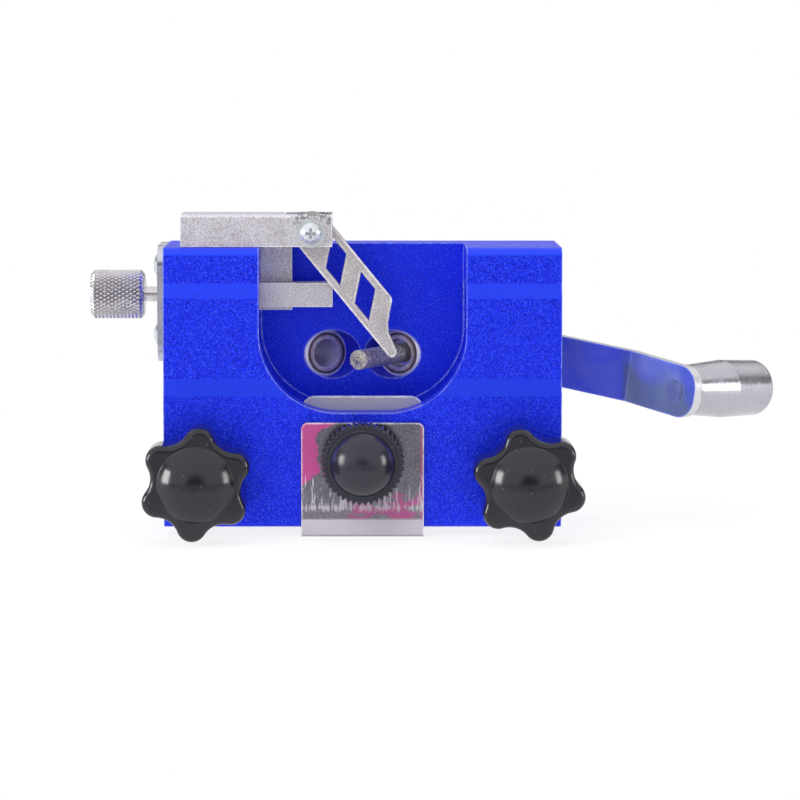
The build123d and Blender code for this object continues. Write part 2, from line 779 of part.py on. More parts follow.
lock_seat = Vector(0, washer_face, lock_z)
with BuildPart() as lock_knob:
    with BuildSketch(facing(0, washer_face, lock_z)):
        Circle(lock_skirt_diameter / 2 - lock_tooth_depth)
    extrude(amount=lock_skirt_depth)
    with BuildSketch(facing(0, washer_face - lock_neck_depth, lock_z)):
        with BuildLine():
            tooth = 180 / lock_teeth
            corners = []
            for count in range(lock_teeth):
                for share, radius in (
                    (0, lock_skirt_diameter / 2),
                    (1, lock_skirt_diameter / 2 - lock_tooth_depth),
                ):
                    turn = math.radians(tooth * (2 * count + share))
                    corners.append((radius * math.cos(turn), radius * math.sin(turn)))
            Polyline(*corners, close=True)
        make_face()
    extrude(amount=lock_skirt_depth - lock_neck_depth)
    dome_seat = lock_seat + to_viewer * lock_skirt_depth
    with BuildSketch(lathe_plane(dome_seat, to_viewer, to_right)):
        with BuildLine():
            Line((0, 0), (lock_dome_diameter / 2, 0))
            ThreePointArc(
                (lock_dome_diameter / 2, 0),
                cap_middle(lock_dome_diameter / 2, lock_dome_height),
                (0, lock_dome_height),
            )
            Line((0, lock_dome_height), (0, 0))
        make_face()
    revolve(axis=Axis(dome_seat, to_viewer))
    with BuildSketch(facing(0, washer_face, lock_z)):
        Circle(lock_screw_diameter / 2)
    extrude(amount=lock_skirt_depth, mode=Mode.SUBTRACT)
save(lock_knob, "lock_knob")

with BuildPart() as lock_stud:
    stud_end = inner_face - lock_screw_diameter / 10
    with BuildSketch(facing(0, stud_end, lock_z)):
        Circle(lock_screw_diameter / 2)
    extrude(amount=stud_end - washer_face + lock_skirt_depth)
save(lock_stud, "lock_stud")

# Star knobs with their studs, and the pads that the studs push on the bar
pad_back = inner_face + slide_gap + pad_thick
knob_seat = front_low - pad_travel - star_stand_off


def polar(radius, degrees_round):
    """Point on a circle round the centre of a sketch."""
    turn = math.radians(degrees_round)
    return Vector(radius * math.cos(turn), radius * math.sin(turn))


# round lobes and round valleys that run into each other without a corner
half_lobe = 180 / star_lobes
lobe_centre = polar(star_tip - star_lobe_radius, 0)
lobe_reach = lobe_centre.X * math.cos(math.radians(half_lobe))
valley_round = (star_lobe_radius**2 - star_valley**2 - lobe_centre.X**2 + 2 * lobe_reach * star_valley) / (
    2 * (star_valley - lobe_reach - star_lobe_radius)
)
valley_centre = polar(star_valley + valley_round, half_lobe)
meeting = lobe_centre + (valley_centre - lobe_centre).normalized() * star_lobe_radius
meet_radius = meeting.length
meet_turn = math.degrees(math.atan2(meeting.Y, meeting.X))

for side in ("left", "right"):
    centre = Vector(star_x[side], knob_seat, star_z)
    star_seat = centre + to_viewer * star_boss_length
    dome_seat = star_seat + to_viewer * star_thick
    with BuildPart() as star_knob:
        with BuildSketch(facing(star_x[side], knob_seat, star_z)):
            Circle(star_boss_diameter / 2)
        extrude(amount=star_boss_length)
        with BuildSketch(facing(star_x[side], star_seat.Y, star_z)):
            with BuildLine():
                for count in range(star_lobes):
                    turn = star_turn_angles[side] + count * 2 * half_lobe
                    before = polar(meet_radius, turn - meet_turn)
                    after = polar(meet_radius, turn + meet_turn)
                    following = polar(meet_radius, turn + 2 * half_lobe - meet_turn)
                    ThreePointArc(before, polar(star_tip, turn), after)
                    ThreePointArc(after, polar(star_valley, turn + half_lobe), following)
            make_face()
        extrude(amount=star_thick)
        rims = star_knob.faces().filter_by(Axis.Y).group_by(Axis.Y)[0].edges()
        fillet(rims, star_edge_round)
        with BuildSketch(lathe_plane(dome_seat, to_viewer, to_right)):
            with BuildLine():
                Line((0, 0), (star_dome_diameter / 2, 0))
                ThreePointArc(
                    (star_dome_diameter / 2, 0),
                    cap_middle(star_dome_diameter / 2, star_dome_height),
                    (0, star_dome_height),
                )
                Line((0, star_dome_height), (0, 0))
            make_face()
        revolve(axis=Axis(dome_seat, to_viewer))
        with BuildSketch(facing(star_x[side], knob_seat, star_z)):
            Circle(stud_diameter / 2)
        extrude(amount=stud_depth, mode=Mode.SUBTRACT)
    save(star_knob, f"star_knob_{side}")

    tip_end = inner_face + slide_gap + stud_tip_length
    shoulder = inner_face
    with BuildPart() as star_stud:
        with BuildSketch(facing(star_x[side], shoulder, star_z)):
            Circle(stud_diameter / 2)
        extrude(amount=shoulder - knob_seat + stud_depth)
        with BuildSketch(facing(star_x[side], tip_end, star_z)):
            Circle(stud_tip_diameter / 2)
        extrude(amount=tip_end - shoulder)
    save(star_stud, f"star_stud_{side}")

    with BuildPart() as pad:
        with BuildSketch(facing(star_x[side], pad_back, star_z)):
            Circle(pad_diameter / 2)
        extrude(amount=pad_thick)
        chamfer(pad.faces().sort_by(Axis.Y)[-1].edges(), pad_thick / 4)
        with BuildSketch(facing(star_x[side], tip_end + run_gap, star_z)):
            Circle(stud_tip_diameter / 2 + run_gap)
        extrude(amount=pad_thick, mode=Mode.SUBTRACT)
    save(pad, f"clamp_pad_{side}")
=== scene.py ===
"""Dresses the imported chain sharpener: finishes, a knurled thumb screw, threads and a plain studio."""

import json
import math

import bmesh
import bpy
from bpy.props import FloatProperty, FloatVectorProperty, IntProperty, PointerProperty
from mathutils import Matrix, Vector


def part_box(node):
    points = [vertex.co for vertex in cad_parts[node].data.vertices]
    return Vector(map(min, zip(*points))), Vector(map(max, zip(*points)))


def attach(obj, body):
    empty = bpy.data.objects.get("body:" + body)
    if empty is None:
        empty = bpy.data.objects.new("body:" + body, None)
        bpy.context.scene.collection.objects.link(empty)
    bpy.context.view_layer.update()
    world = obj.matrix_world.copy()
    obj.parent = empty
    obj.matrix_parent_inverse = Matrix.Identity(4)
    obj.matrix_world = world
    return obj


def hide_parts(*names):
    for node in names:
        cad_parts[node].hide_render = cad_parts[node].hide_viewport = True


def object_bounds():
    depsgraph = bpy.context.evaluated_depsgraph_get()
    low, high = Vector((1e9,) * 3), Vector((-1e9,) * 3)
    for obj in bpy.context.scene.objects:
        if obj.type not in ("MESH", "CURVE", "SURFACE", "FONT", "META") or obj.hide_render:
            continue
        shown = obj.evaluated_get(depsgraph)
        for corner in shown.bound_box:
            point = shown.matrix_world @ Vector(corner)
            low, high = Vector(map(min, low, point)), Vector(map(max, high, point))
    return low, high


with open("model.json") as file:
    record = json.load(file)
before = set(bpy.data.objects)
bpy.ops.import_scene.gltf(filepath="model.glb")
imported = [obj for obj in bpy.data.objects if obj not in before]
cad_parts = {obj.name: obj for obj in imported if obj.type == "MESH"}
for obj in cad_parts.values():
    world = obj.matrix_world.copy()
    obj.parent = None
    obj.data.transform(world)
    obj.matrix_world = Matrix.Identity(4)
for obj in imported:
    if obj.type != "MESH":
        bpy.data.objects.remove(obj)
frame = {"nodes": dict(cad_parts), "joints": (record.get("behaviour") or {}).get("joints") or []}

bl_info = {
    "name": "Chain sharpener looks",
    "version": (1, 0, 0),
    "blender": (4, 5, 0),
    "location": "3D View > Sidebar > Sharpener",
    "description": "Finishes, threads and knurling for a sharpener that clamps on a guide bar",
    "category": "Object",
}

mm = 0.001
nodes = frame["nodes"]
joints = {joint["name"]: joint for joint in frame["joints"]}
cad_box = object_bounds()
floor_height = cad_box[0].z


# lesser tones of the finishes, with painted highlights and painted shade among them, laid over the colours that
# the panel holds
lit_step_blue = (0.026, 0.07, 0.96)
blue_edge_highlight = (0.55, 0.64, 1.0)
pale_aluminium = (0.78, 0.76, 0.83)
aluminium_pit = (0.38, 0.33, 0.36)
aluminium_facet = (0.88, 0.86, 0.90)
aluminium_scratch = (0.42, 0.41, 0.40)
aluminium_edge_highlight = (0.93, 0.92, 0.94)
brown_stain = (0.11, 0.06, 0.06)
torn_grey = (0.10, 0.10, 0.11)
plate_scratch = (0.85, 0.86, 0.88)
plate_edge_highlight = (0.88, 0.89, 0.90)
dull_plate = (0.60, 0.62, 0.68)
bright_plate = (0.70, 0.72, 0.75)
zinc_green = (0.19, 0.25, 0.26)
zinc_speck = (0.30, 0.33, 0.44)
crease_highlight = (0.36, 0.42, 0.98)
zinc_cut = (0.60, 0.60, 0.63)
zinc_edge_highlight = (0.80, 0.81, 0.86)
black_oxide = (0.03, 0.03, 0.032)
pivot_plate = (0.62, 0.65, 0.69)
ring_plate = (0.66, 0.68, 0.70)
washer_plate = (0.68, 0.70, 0.72)
rivet_blue = (0.20, 0.24, 0.42)
rivet_rim_shade = (0.03, 0.03, 0.06)
pale_spindle = (0.66, 0.64, 0.65)
pale_silver = (0.55, 0.54, 0.58)
dust_grey = (0.30, 0.30, 0.30)
black_edge_highlight = (0.16, 0.16, 0.19)
sheet_cloud = (0.14, 0.13, 0.17)
sheet_inner = (0.33, 0.325, 0.37)
sheet_grain = (0.40, 0.37, 0.40)
sheet_edge_highlight = (0.96, 0.96, 0.97)
dried_run = (0.66, 0.62, 0.68)
fold_band = (0.66, 0.61, 0.68)
fold_line = (0.25, 0.21, 0.25)
dark_grit = (0.16, 0.14, 0.13)
pale_grit = (0.62, 0.58, 0.54)
bush_cloud = (0.22, 0.13, 0.20)
bore_purple = (0.42, 0.40, 0.74)
bush_tarnish = (0.40, 0.30, 0.31)
bush_groove_shade = (0.045, 0.022, 0.028)
bush_lip_highlight = (0.97, 0.93, 0.94)
bush_rim_highlight = (0.92, 0.90, 0.93)
pale_steel = (0.74, 0.71, 0.73)
steel_pit = (0.34, 0.29, 0.30)
steel_facet = (0.85, 0.83, 0.85)
steel_edge_highlight = (0.97, 0.96, 0.98)
scorch_brown = (0.07, 0.03, 0.03)
nickel = (0.56, 0.53, 0.56)
pale_nickel = (0.72, 0.70, 0.73)
nickel_smear = (0.40, 0.37, 0.40)
nickel_edge_highlight = (0.80, 0.79, 0.80)
knurl_groove_shade = (0.12, 0.11, 0.12)
paper_fibre = (0.90, 0.90, 0.90)

# the front wall's sloped steps start and end at these depths
step_depths = (-10.5 * mm, -11.5 * mm)


class SharpenerSizes(bpy.types.PropertyGroup):
    """Sizes of the pieces that are made here, and of the patterns on the metal."""

    knurl_grooves: IntProperty(
        name="Knurl grooves", description="Grooves of each hand around the thumb screw's head", default=36, min=8
    )
    knurl_depth: FloatProperty(
        name="Knurl depth", description="Depth of the thumb screw's knurl", default=0.3 * mm, subtype="DISTANCE"
    )
    thumb_pitch: FloatProperty(
        name="Thumb screw pitch", description="Pitch of the thumb screw's thread", default=0.5 * mm,
        subtype="DISTANCE",
    )
    clamp_pitch: FloatProperty(
        name="Clamp screw pitch", description="Pitch of the star knobs' threads", default=0.8 * mm,
        subtype="DISTANCE",
    )
    blast_grain: FloatProperty(
        name="Blast grain", description="Size of the pits on the blasted blue surface", default=0.24 * mm,
        subtype="DISTANCE",
    )
    grit_grain: FloatProperty(
        name="Grit grain", description="Size of the grains on the burr", default=0.2 * mm, subtype="DISTANCE"
    )
    turning_pitch: FloatProperty(
        name="Turning pitch", description="Distance between the tool lines on turned metal", default=0.24 * mm,
        subtype="DISTANCE",
    )


class SharpenerColours(bpy.types.PropertyGroup):
    """Colours of the finishes."""

    blue: FloatVectorProperty(
        name="Anodised blue", description="Dye of the body", default=(0.008, 0.030, 0.98), size=3, subtype="COLOR"
    )
    blue_deep: FloatVectorProperty(
        name="Deep blue", description="Dye in the pits of the blasting", default=(0.002, 0.009, 0.50), size=3,
        subtype="COLOR",
    )
    blue_light: FloatVectorProperty(
        name="Blue sparkle", description="Bright facets of the body", default=(0.09, 0.17, 1.0), size=3,
        subtype="COLOR",
    )
    aluminium: FloatVectorProperty(
        name="Plain aluminium", description="Tumbled channel and slide bar", default=(0.72, 0.695, 0.76), size=3,
        subtype="COLOR",
    )
    silver: FloatVectorProperty(
        name="Turned silver", description="Turned grip", default=(0.42, 0.40, 0.46), size=3, subtype="COLOR"
    )
    steel: FloatVectorProperty(
        name="Pawl steel", description="Blasted steel of the pawl", default=(0.62, 0.585, 0.61), size=3,
        subtype="COLOR",
    )
    zinc: FloatVectorProperty(
        name="Blue zinc", description="Zinc plate on the crank", default=(0.36, 0.42, 0.60), size=3,
        subtype="COLOR",
    )
    # painted reflection: the blue body mirrored in the crank's zinc
    sheen: FloatVectorProperty(
        name="Blue sheen", description="Sheen of the zinc on the crank", default=(0.07, 0.12, 0.66), size=3,
        subtype="COLOR",
    )
    bush: FloatVectorProperty(
        name="Bush steel", description="Turned bushes and spindle", default=(0.64, 0.60, 0.64), size=3,
        subtype="COLOR",
    )
    film: FloatVectorProperty(
        name="Clip film", description="Pink film on the depth clip", default=(0.60, 0.065, 0.31), size=3,
        subtype="COLOR",
    )
    sheet: FloatVectorProperty(
        name="Stainless sheet", description="Sheet of the depth clip", default=(0.19, 0.18, 0.225), size=3,
        subtype="COLOR",
    )
    plastic: FloatVectorProperty(
        name="Black plastic", description="Moulded knobs", default=(0.007, 0.0065, 0.012), size=3, subtype="COLOR"
    )
    paper: FloatVectorProperty(
        name="Floor", description="Floor under the sharpener", default=(0.93, 0.93, 0.93), size=3, subtype="COLOR"
    )


class SharpenerStudio(bpy.types.PropertyGroup):
    """The camera and the lamps."""

    distance: FloatProperty(
        name="Camera distance", description="From the lens to the middle of the body", default=600 * mm,
        subtype="DISTANCE",
    )
    elevation: FloatProperty(
        name="Camera elevation", description="Height of the view above level", default=math.radians(5.9),
        subtype="ANGLE",
    )
    focal: FloatProperty(
        name="Focal length", description="In millimetres on a 36 mm sensor", default=131.7, min=10
    )
    aim_height: FloatProperty(
        name="Aim height", description="Height that the camera looks at", default=20 * mm, subtype="DISTANCE"
    )
    key_power: FloatProperty(
        name="Key lamp", description="Soft light at the upper left", default=4.2, subtype="POWER"
    )
    top_power: FloatProperty(name="Top lamp", description="Soft light above", default=2.8, subtype="POWER")
    left_power: FloatProperty(
        name="Left soft box", description="Makes the highlights at the left", default=4.4, subtype="POWER"
    )
    right_power: FloatProperty(
        name="Right soft box", description="Makes the highlights at the right", default=2.1, subtype="POWER"
    )


class Wiring:
    """A node tree, with a short call for each kind of step that the finishes share."""

    def __init__(self, tree, where=None):
        self.tree, self.where = tree, where

    def feed(self, socket, value):
        """Links a socket to another one, or sets it to a value."""
        if isinstance(value, bpy.types.NodeSocket):
            self.tree.links.new(value, socket)
        else:
            socket.default_value = value

    def place(self, kind, feeds=None, **settings):
        """Adds a node, sets it, and feeds its sockets."""
        node = self.tree.nodes.new(kind)
        for name, value in settings.items():
            setattr(node, name, value)
        for socket, value in (feeds or {}).items():
            self.feed(node.inputs[socket], value)
        return node

    def reckon(self, operation, *values):
        """One step of arithmetic between sockets or numbers."""
        return self.place("ShaderNodeMath", dict(enumerate(values)), operation=operation).outputs[0]

    def times(self, first, *others):
        """The product of several values."""
        for other in others:
            first = self.reckon("MULTIPLY", first, other)
        return first

    def most(self, first, *others):
        """The largest of several values."""
        for other in others:
            first = self.reckon("MAXIMUM", first, other)
        return first

    def reach(self, first, second):
        """The length of two legs at right angles."""
        return self.reckon("SQRT", self.reckon("MULTIPLY_ADD", second, second, self.times(first, first)))

    def fade(self, value, low, high, start=0.0, end=1.0):
        """Goes smoothly from start to end while a value passes from low to high."""
        feeds = {"Value": value, "From Min": low, "From Max": high, "To Min": start, "To Max": end}
        return self.place("ShaderNodeMapRange", feeds, interpolation_type="SMOOTHSTEP").outputs["Result"]

    def blend(self, share, first, second):
        """Mixes two colours by a share."""
        node = self.place("ShaderNodeMix", {0: share}, data_type="RGBA")
        for index, value in ((6, first), (7, second)):
            self.feed(node.inputs[index], value if isinstance(value, bpy.types.NodeSocket) else (*value, 1.0))
        return node.outputs[2]

    def join(self, share, first, second):
        """Mixes two shaders by a share."""
        return self.place("ShaderNodeMixShader", {0: share, 1: first.outputs[0], 2: second.outputs[0]})

    def noise(self, size, detail=2.0, roughness=0.5, where=None):
        """Cloudy variation with features of a given size."""
        where = where or self.where
        feeds = {"Vector": where, "Scale": 1 / size, "Detail": detail, "Roughness": roughness}
        return self.place("ShaderNodeTexNoise", feeds).outputs["Fac"]

    def mapped(self, scale=(1, 1, 1), turn=(0, 0, 0), shift=(0, 0, 0)):
        """The coordinates stretched, turned and moved."""
        feeds = {"Vector": self.where, "Scale": scale, "Rotation": turn, "Location": shift}
        return self.place("ShaderNodeMapping", feeds).outputs["Vector"]

    def parts(self, vector=None):
        """The three parts of a vector, or of the coordinates."""
        return self.place("ShaderNodeSeparateXYZ", {0: vector or self.where}).outputs

    def facing(self):
        """The way that the surface faces."""
        return self.place("ShaderNodeNewGeometry").outputs["Normal"]

    def along(self, vector, direction):
        """How far a vector goes in a direction."""
        feeds = {0: vector, 1: direction}
        return self.place("ShaderNodeVectorMath", feeds, operation="DOT_PRODUCT").outputs["Value"]

    def offset(self, point):
        """The way from a point to each place."""
        return self.place("ShaderNodeVectorMath", {0: self.where, 1: point}, operation="SUBTRACT").outputs[0]


def effect(name, inputs, outputs, wire):
    """A node group built once, with a place, numbers to set, and outputs that wire(wiring, sockets) returns."""
    if name in bpy.data.node_groups:
        return bpy.data.node_groups[name]
    tree = bpy.data.node_groups.new(name, "ShaderNodeTree")
    tree.interface.new_socket("Place", in_out="INPUT", socket_type="NodeSocketVector")
    for label, default in inputs.items():
        tree.interface.new_socket(label, in_out="INPUT", socket_type="NodeSocketFloat").default_value = default
    for label in outputs:
        tree.interface.new_socket(label, in_out="OUTPUT", socket_type="NodeSocketFloat")
    entry, leave = tree.nodes.new("NodeGroupInput"), tree.nodes.new("NodeGroupOutput")
    for label, socket in zip(outputs, wire(Wiring(tree, entry.outputs["Place"]), entry.outputs)):
        tree.links.new(socket, leave.inputs[label])
    return tree


def sparkle_effect():
    """Bright facets scattered over a blasted surface, and its pitted height."""

    def wire(group, given):
        cells = group.place("ShaderNodeTexVoronoi", {"Vector": group.where, "Scale": given["Scale"]})
        shade = group.place("ShaderNodeSeparateColor", {"Color": cells.outputs["Color"]})
        rare = group.reckon("GREATER_THAN", shade.outputs[0], group.reckon("SUBTRACT", 1.0, given["Share"]))
        round_off = group.fade(cells.outputs["Distance"], 0.25, 0.5, 1, 0)
        return group.times(rare, shade.outputs[1], round_off), cells.outputs["Distance"]

    return effect("sparkle", {"Scale": 4000.0, "Share": 0.15}, ("Facets", "Height"), wire)


def edge_finder_effect():
    """Finds the edges, broken up a little; the finishes paint highlights there, and also the pawl's scorch and a
    shade line round the rivet.
    """

    def wire(group, given):
        rounded = group.place("ShaderNodeBevel", {"Radius": given["Width"]}, samples=4).outputs["Normal"]
        edge = group.fade(group.along(rounded, group.facing()), given["Start"], given["Full"])
        return (group.times(edge, group.fade(group.noise(1.7 * mm, 3.0, 0.6), 0.30, 0.62, 0.35, 1.0)),)

    return effect("edge finder", {"Width": 0.2 * mm, "Start": 0.97, "Full": 0.80}, ("Edge",), wire)


def scratch_effect():
    """Fine scratches that run one way, the way of the coordinates' first axis."""

    def wire(group, given):
        fine = group.noise(0.16 * mm, 2.0, 0.6, group.mapped((0.06, 1, 1)))
        broken = group.fade(group.noise(3.2 * mm), 0.35, 0.7, 0.2, 1.0)
        return group.times(group.fade(fine, 0.56, 0.74), broken), fine

    return effect("scratches", {}, ("Scratch", "Height"), wire)


def turning_effect():
    """Tool lines round an axis, which is the third one of the coordinates."""

    def wire(group, given):
        part = group.parts()
        run = group.reckon("ADD", group.reach(part[0], part[1]), part[2])
        joined = group.place("ShaderNodeCombineXYZ", {0: run}).outputs[0]
        coarse = group.place("ShaderNodeTexNoise", {"Vector": joined, "Scale": given["Lines"], "Detail": 3.0})
        return (coarse.outputs["Fac"],)

    return effect("turning lines", {"Lines": 4000.0}, ("Height",), wire)


def axis_of(joint):
    """The direction of a joint's axis, and a point on it."""
    return Vector(joints[joint]["axis"]), Vector(joints[joint]["pos_m"])


class Finish(Wiring):
    """A material in the making. Its shade is laid down first, and then tinted, share by share."""

    def __init__(self, name):
        self.material = bpy.data.materials.new(name)
        self.material.use_nodes = True
        super().__init__(self.material.node_tree)
        self.where = self.place("ShaderNodeTexCoord").outputs["Object"]

    def use(self, group, place=None, **feeds):
        """Places a shared effect, and returns its outputs."""
        feeds["Place"] = place or self.where
        return self.place("ShaderNodeGroup", feeds, node_tree=group).outputs

    def edge(self, width, start=0.97, full=0.80):
        """The edges, of a given width, where a finish paints its edge marks, mostly highlights."""
        return self.use(edge_finder_effect(), Width=width, Start=start, Full=full)["Edge"]

    def centred(self, out, seat):
        """The coordinates from a point, with their third axis along a direction."""
        turn = Vector(out).rotation_difference(Vector((0, 0, 1)))
        return self.mapped(turn=turn.to_euler(), shift=-(turn @ Vector(seat)))

    def rings(self, centred, pitch):
        """Tool lines round the axis that coordinates are centred on."""
        return self.use(turning_effect(), centred, Lines=1 / pitch)["Height"]

    def tint(self, share, colour, strength=1.0):
        """Lays a colour over the shade, by a share."""
        if strength != 1.0:
            share = self.times(share, strength)
        self.shade = self.blend(share, self.shade, colour)

    def close(self, height, depth, strength, **sockets):
        """Feeds the shader the shade, a bump of a real depth and the named sockets, and gives the material."""
        feeds = {"Height": height, "Distance": depth, "Strength": strength}
        sockets.update(Base_Color=self.shade, Normal=self.place("ShaderNodeBump", feeds).outputs["Normal"])
        for name, value in sockets.items():
            self.feed(self.tree.nodes["Principled BSDF"].inputs[name.replace("_", " ")], value)
        return self.material


def blasted_blue(colours, sizes):
    """Blue dye over a blasted surface, smoother on the two sloped steps, with a painted lighter tone where the
    steps face up, and a painted highlight along the edges.
    """
    finish = Finish("blasted blue")
    grain = finish.noise(sizes.blast_grain, 2.0, 0.6)
    sparkle = finish.use(sparkle_effect(), Scale=1 / sizes.blast_grain, Share=0.16)
    tilted = finish.fade(finish.parts(finish.facing())[2], 0.08, 0.16)
    smooth_lit_steps = finish.times(tilted, finish.fade(finish.parts()[1], *step_depths))
    rough = finish.reckon("SUBTRACT", 1.0, smooth_lit_steps)
    finish.shade = finish.blend(finish.fade(grain, 0.36, 0.54), colours.blue_deep, colours.blue)
    finish.tint(finish.fade(finish.noise(6 * mm, 3.0, 0.6), 0.35, 0.7), colours.blue, 0.2)
    facets = finish.most(sparkle["Facets"], finish.fade(grain, 0.56, 0.68, 0.0, 0.8))
    finish.tint(finish.times(facets, finish.fade(rough, 0, 1, 0.3, 0.9)), colours.blue_light)
    # painted light: a lighter blue on the up-facing sloped steps, where more light falls; their lower roughness
    # is the finish's own
    finish.tint(smooth_lit_steps, lit_step_blue, 0.6)
    # painted highlight: pale blue along the edges, broken up by the grain and less metallic there
    lit_edges = finish.times(finish.edge(0.45 * mm), finish.fade(grain, 0.35, 0.55, 0.45, 1.0))
    finish.tint(lit_edges, blue_edge_highlight)
    dull, metal = finish.fade(smooth_lit_steps, 0, 1, 0.42, 0.3), finish.fade(lit_edges, 0, 1, 0.68, 0.3)
    return finish.close(finish.times(grain, rough), 0.03 * mm, 0.4, Roughness=dull, Metallic=metal)


def tumbled_aluminium(name, colours, marks=None, stained_top=False):
    """Sawn aluminium that has been tumbled: pale grey, speckled, with soft scratches along its length.

    It can have torn marks between two places and above a height, or a stained top.
    """
    finish = Finish(name)
    sparkle = finish.use(sparkle_effect(), Scale=1 / (0.26 * mm), Share=0.5)
    scratch = finish.use(scratch_effect())
    edge = finish.edge(0.4 * mm, 0.99, 0.92)
    clouds = finish.noise(4 * mm, 4.0, 0.6)
    finish.shade = finish.blend(finish.fade(clouds, 0.3, 0.75), colours.aluminium, pale_aluminium)
    finish.tint(finish.fade(finish.noise(0.3 * mm, 2.0, 0.6), 0.44, 0.60), aluminium_pit, 0.6)
    finish.tint(sparkle["Facets"], aluminium_facet, 0.7)
    if stained_top:
        stain = finish.fade(finish.noise(0.7 * mm, 3.0, 0.7), 0.42, 0.58)
        upward = finish.fade(finish.parts(finish.facing())[2], 0.5, 0.8)
        finish.tint(finish.times(stain, upward), brown_stain, 0.8)
    finish.tint(scratch["Scratch"], aluminium_scratch, 0.3)
    # painted highlight along the edges, less metallic there
    finish.tint(edge, aluminium_edge_highlight, 0.9)
    if marks:
        left, right, base = marks
        spot = finish.parts()
        torn = finish.noise(0.9 * mm, 3.0, 0.7, finish.mapped((1, 1, 0.6)))
        inside = finish.times(
            finish.fade(spot[0], left, left + 1.5 * mm),
            finish.fade(spot[0], right, right + 0.6 * mm, 1, 0),
            finish.fade(spot[2], base, base + 0.5 * mm),
            finish.fade(torn, 0.46, 0.60),
        )
        finish.tint(inside, torn_grey, 0.75)
    height = finish.reckon("ADD", sparkle["Height"], finish.times(scratch["Height"], 0.6))
    dull, metal = finish.fade(clouds, 0.3, 0.7, 0.36, 0.48), finish.fade(edge, 0, 1, 0.8, 0.2)
    return finish.close(height, 0.05 * mm, 0.6, Roughness=dull, Metallic=metal)


def turned_metal(name, base, pale, pitch, out, seat, rough=(0.2, 0.36)):
    """Metal turned on a lathe round one axis, with its tool lines and a painted highlight along its edges."""
    finish = Finish(name)
    rings = finish.rings(finish.centred(out, seat), pitch)
    smears = finish.noise(2.4 * mm, 3.0, 0.65)
    finish.shade = finish.blend(finish.fade(rings, 0.3, 0.72), base, pale)
    finish.tint(finish.fade(smears, 0.5, 0.8), [part * 0.6 for part in base], 0.3)
    # painted highlight: a brighter tone along the edges
    finish.tint(finish.edge(0.2 * mm), [min(1, part * 1.25) for part in pale], 0.6)
    return finish.close(rings, 0.03 * mm, 0.5, Roughness=finish.fade(smears, 0.3, 0.7, *rough), Metallic=1.0)


def plated_steel(name, base, grain=(1, 1, 1), rough=(0.22, 0.36), metallic=1.0, rim=plate_edge_highlight):
    """Plated steel sheet or screw: faint rolling lines, small stains, and edges painted in the rim colour: a
    painted highlight by default, painted shade round the rivet.
    """
    finish = Finish(name)
    scratch = finish.use(scratch_effect(), finish.mapped(grain))
    clouds = finish.noise(2.2 * mm, 4.0, 0.6)
    finish.shade = finish.blend(finish.fade(clouds, 0.35, 0.7), base, [part * 0.82 for part in base])
    finish.tint(finish.fade(finish.noise(0.5 * mm, 2.0, 0.6), 0.62, 0.75), [part * 0.6 for part in base], 0.2)
    finish.tint(scratch["Scratch"], plate_scratch, 0.3)
    # painted edge marks in the rim colour: a highlight, or shade where the rim colour is dark
    finish.tint(finish.edge(0.15 * mm), rim, 0.6)
    dull = finish.fade(clouds, 0.3, 0.7, *rough)
    return finish.close(scratch["Height"], 0.02 * mm, 0.35, Roughness=dull, Metallic=metallic)


def sheened_strip(colours):
    """The crank's zinc: a painted blue sheen, standing for the blue body's reflection, above and at the far end,
    greenish past the fold, and a painted highlight at the fold.
    """
    finish = Finish("crank zinc")
    low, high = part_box("crank_arm")
    slope, fold = 0.25, high.x - 15.5 * mm
    spot = finish.parts()
    level = finish.reckon("MULTIPLY_ADD", spot[0], slope, spot[2])
    foot = (high.x - 3 * mm) * slope + low.z
    wander = finish.fade(finish.noise(9 * mm, 1.0, 0.4), 0.25, 0.75, -2 * mm, 2 * mm)
    beyond = finish.fade(spot[0], fold, fold + 1 * mm)
    # painted reflection: cloudy patches of the blue sheen over the zinc
    finish.shade = finish.blend(
        finish.fade(finish.noise(7 * mm), 0.3, 0.7, 0.35, 0.8), colours.zinc, colours.sheen
    )
    lower = finish.fade(finish.reckon("ADD", level, wander), foot + 5 * mm, foot + 9 * mm, 1, 0)
    finish.tint(finish.times(beyond, lower), zinc_green, 0.85)
    # more of the painted blue reflection towards the far end
    far = finish.fade(finish.reckon("ADD", spot[0], wander), high.x - 5 * mm, high.x - 2.5 * mm)
    finish.tint(finish.times(far, beyond), colours.sheen, 0.7)
    specks = finish.noise(0.4 * mm, 2.0, 0.7)
    finish.tint(finish.fade(specks, 0.45, 0.7), zinc_speck, 0.35)
    # painted highlight: a bright line along the fold, less metallic there
    crease = finish.edge(0.5 * mm, 0.998, 0.992)
    finish.tint(crease, crease_highlight, 0.8)
    finish.tint(finish.fade(finish.parts(finish.facing())[0], -0.35, -0.1), zinc_cut)
    # painted highlight along the edges
    finish.tint(finish.edge(0.2 * mm), zinc_edge_highlight, 0.5)
    return finish.close(specks, 0.02 * mm, 0.4, Roughness=0.34, Metallic=finish.fade(crease, 0, 1, 0.6, 0.2))


def moulded_black(name, base, rough=(0.14, 0.2), coat=0.08):
    """Moulded plastic: near black, glossy, with a faint flow pattern, dust and painted highlights along the
    edges.
    """
    finish = Finish(name)
    ripple = finish.noise(3.5 * mm)
    dust = finish.use(sparkle_effect(), Scale=1 / (0.5 * mm), Share=0.02)["Facets"]
    finish.shade = finish.blend(finish.times(dust, 0.16), base, dust_grey)
    # painted highlight: a lighter grey along the edges
    finish.tint(finish.edge(0.3 * mm), black_edge_highlight, 0.7)
    dull = finish.fade(ripple, 0.35, 0.65, *rough)
    return finish.close(ripple, 0.12 * mm, 0.25, Roughness=dull, Coat_Weight=coat, Coat_Roughness=0.12)


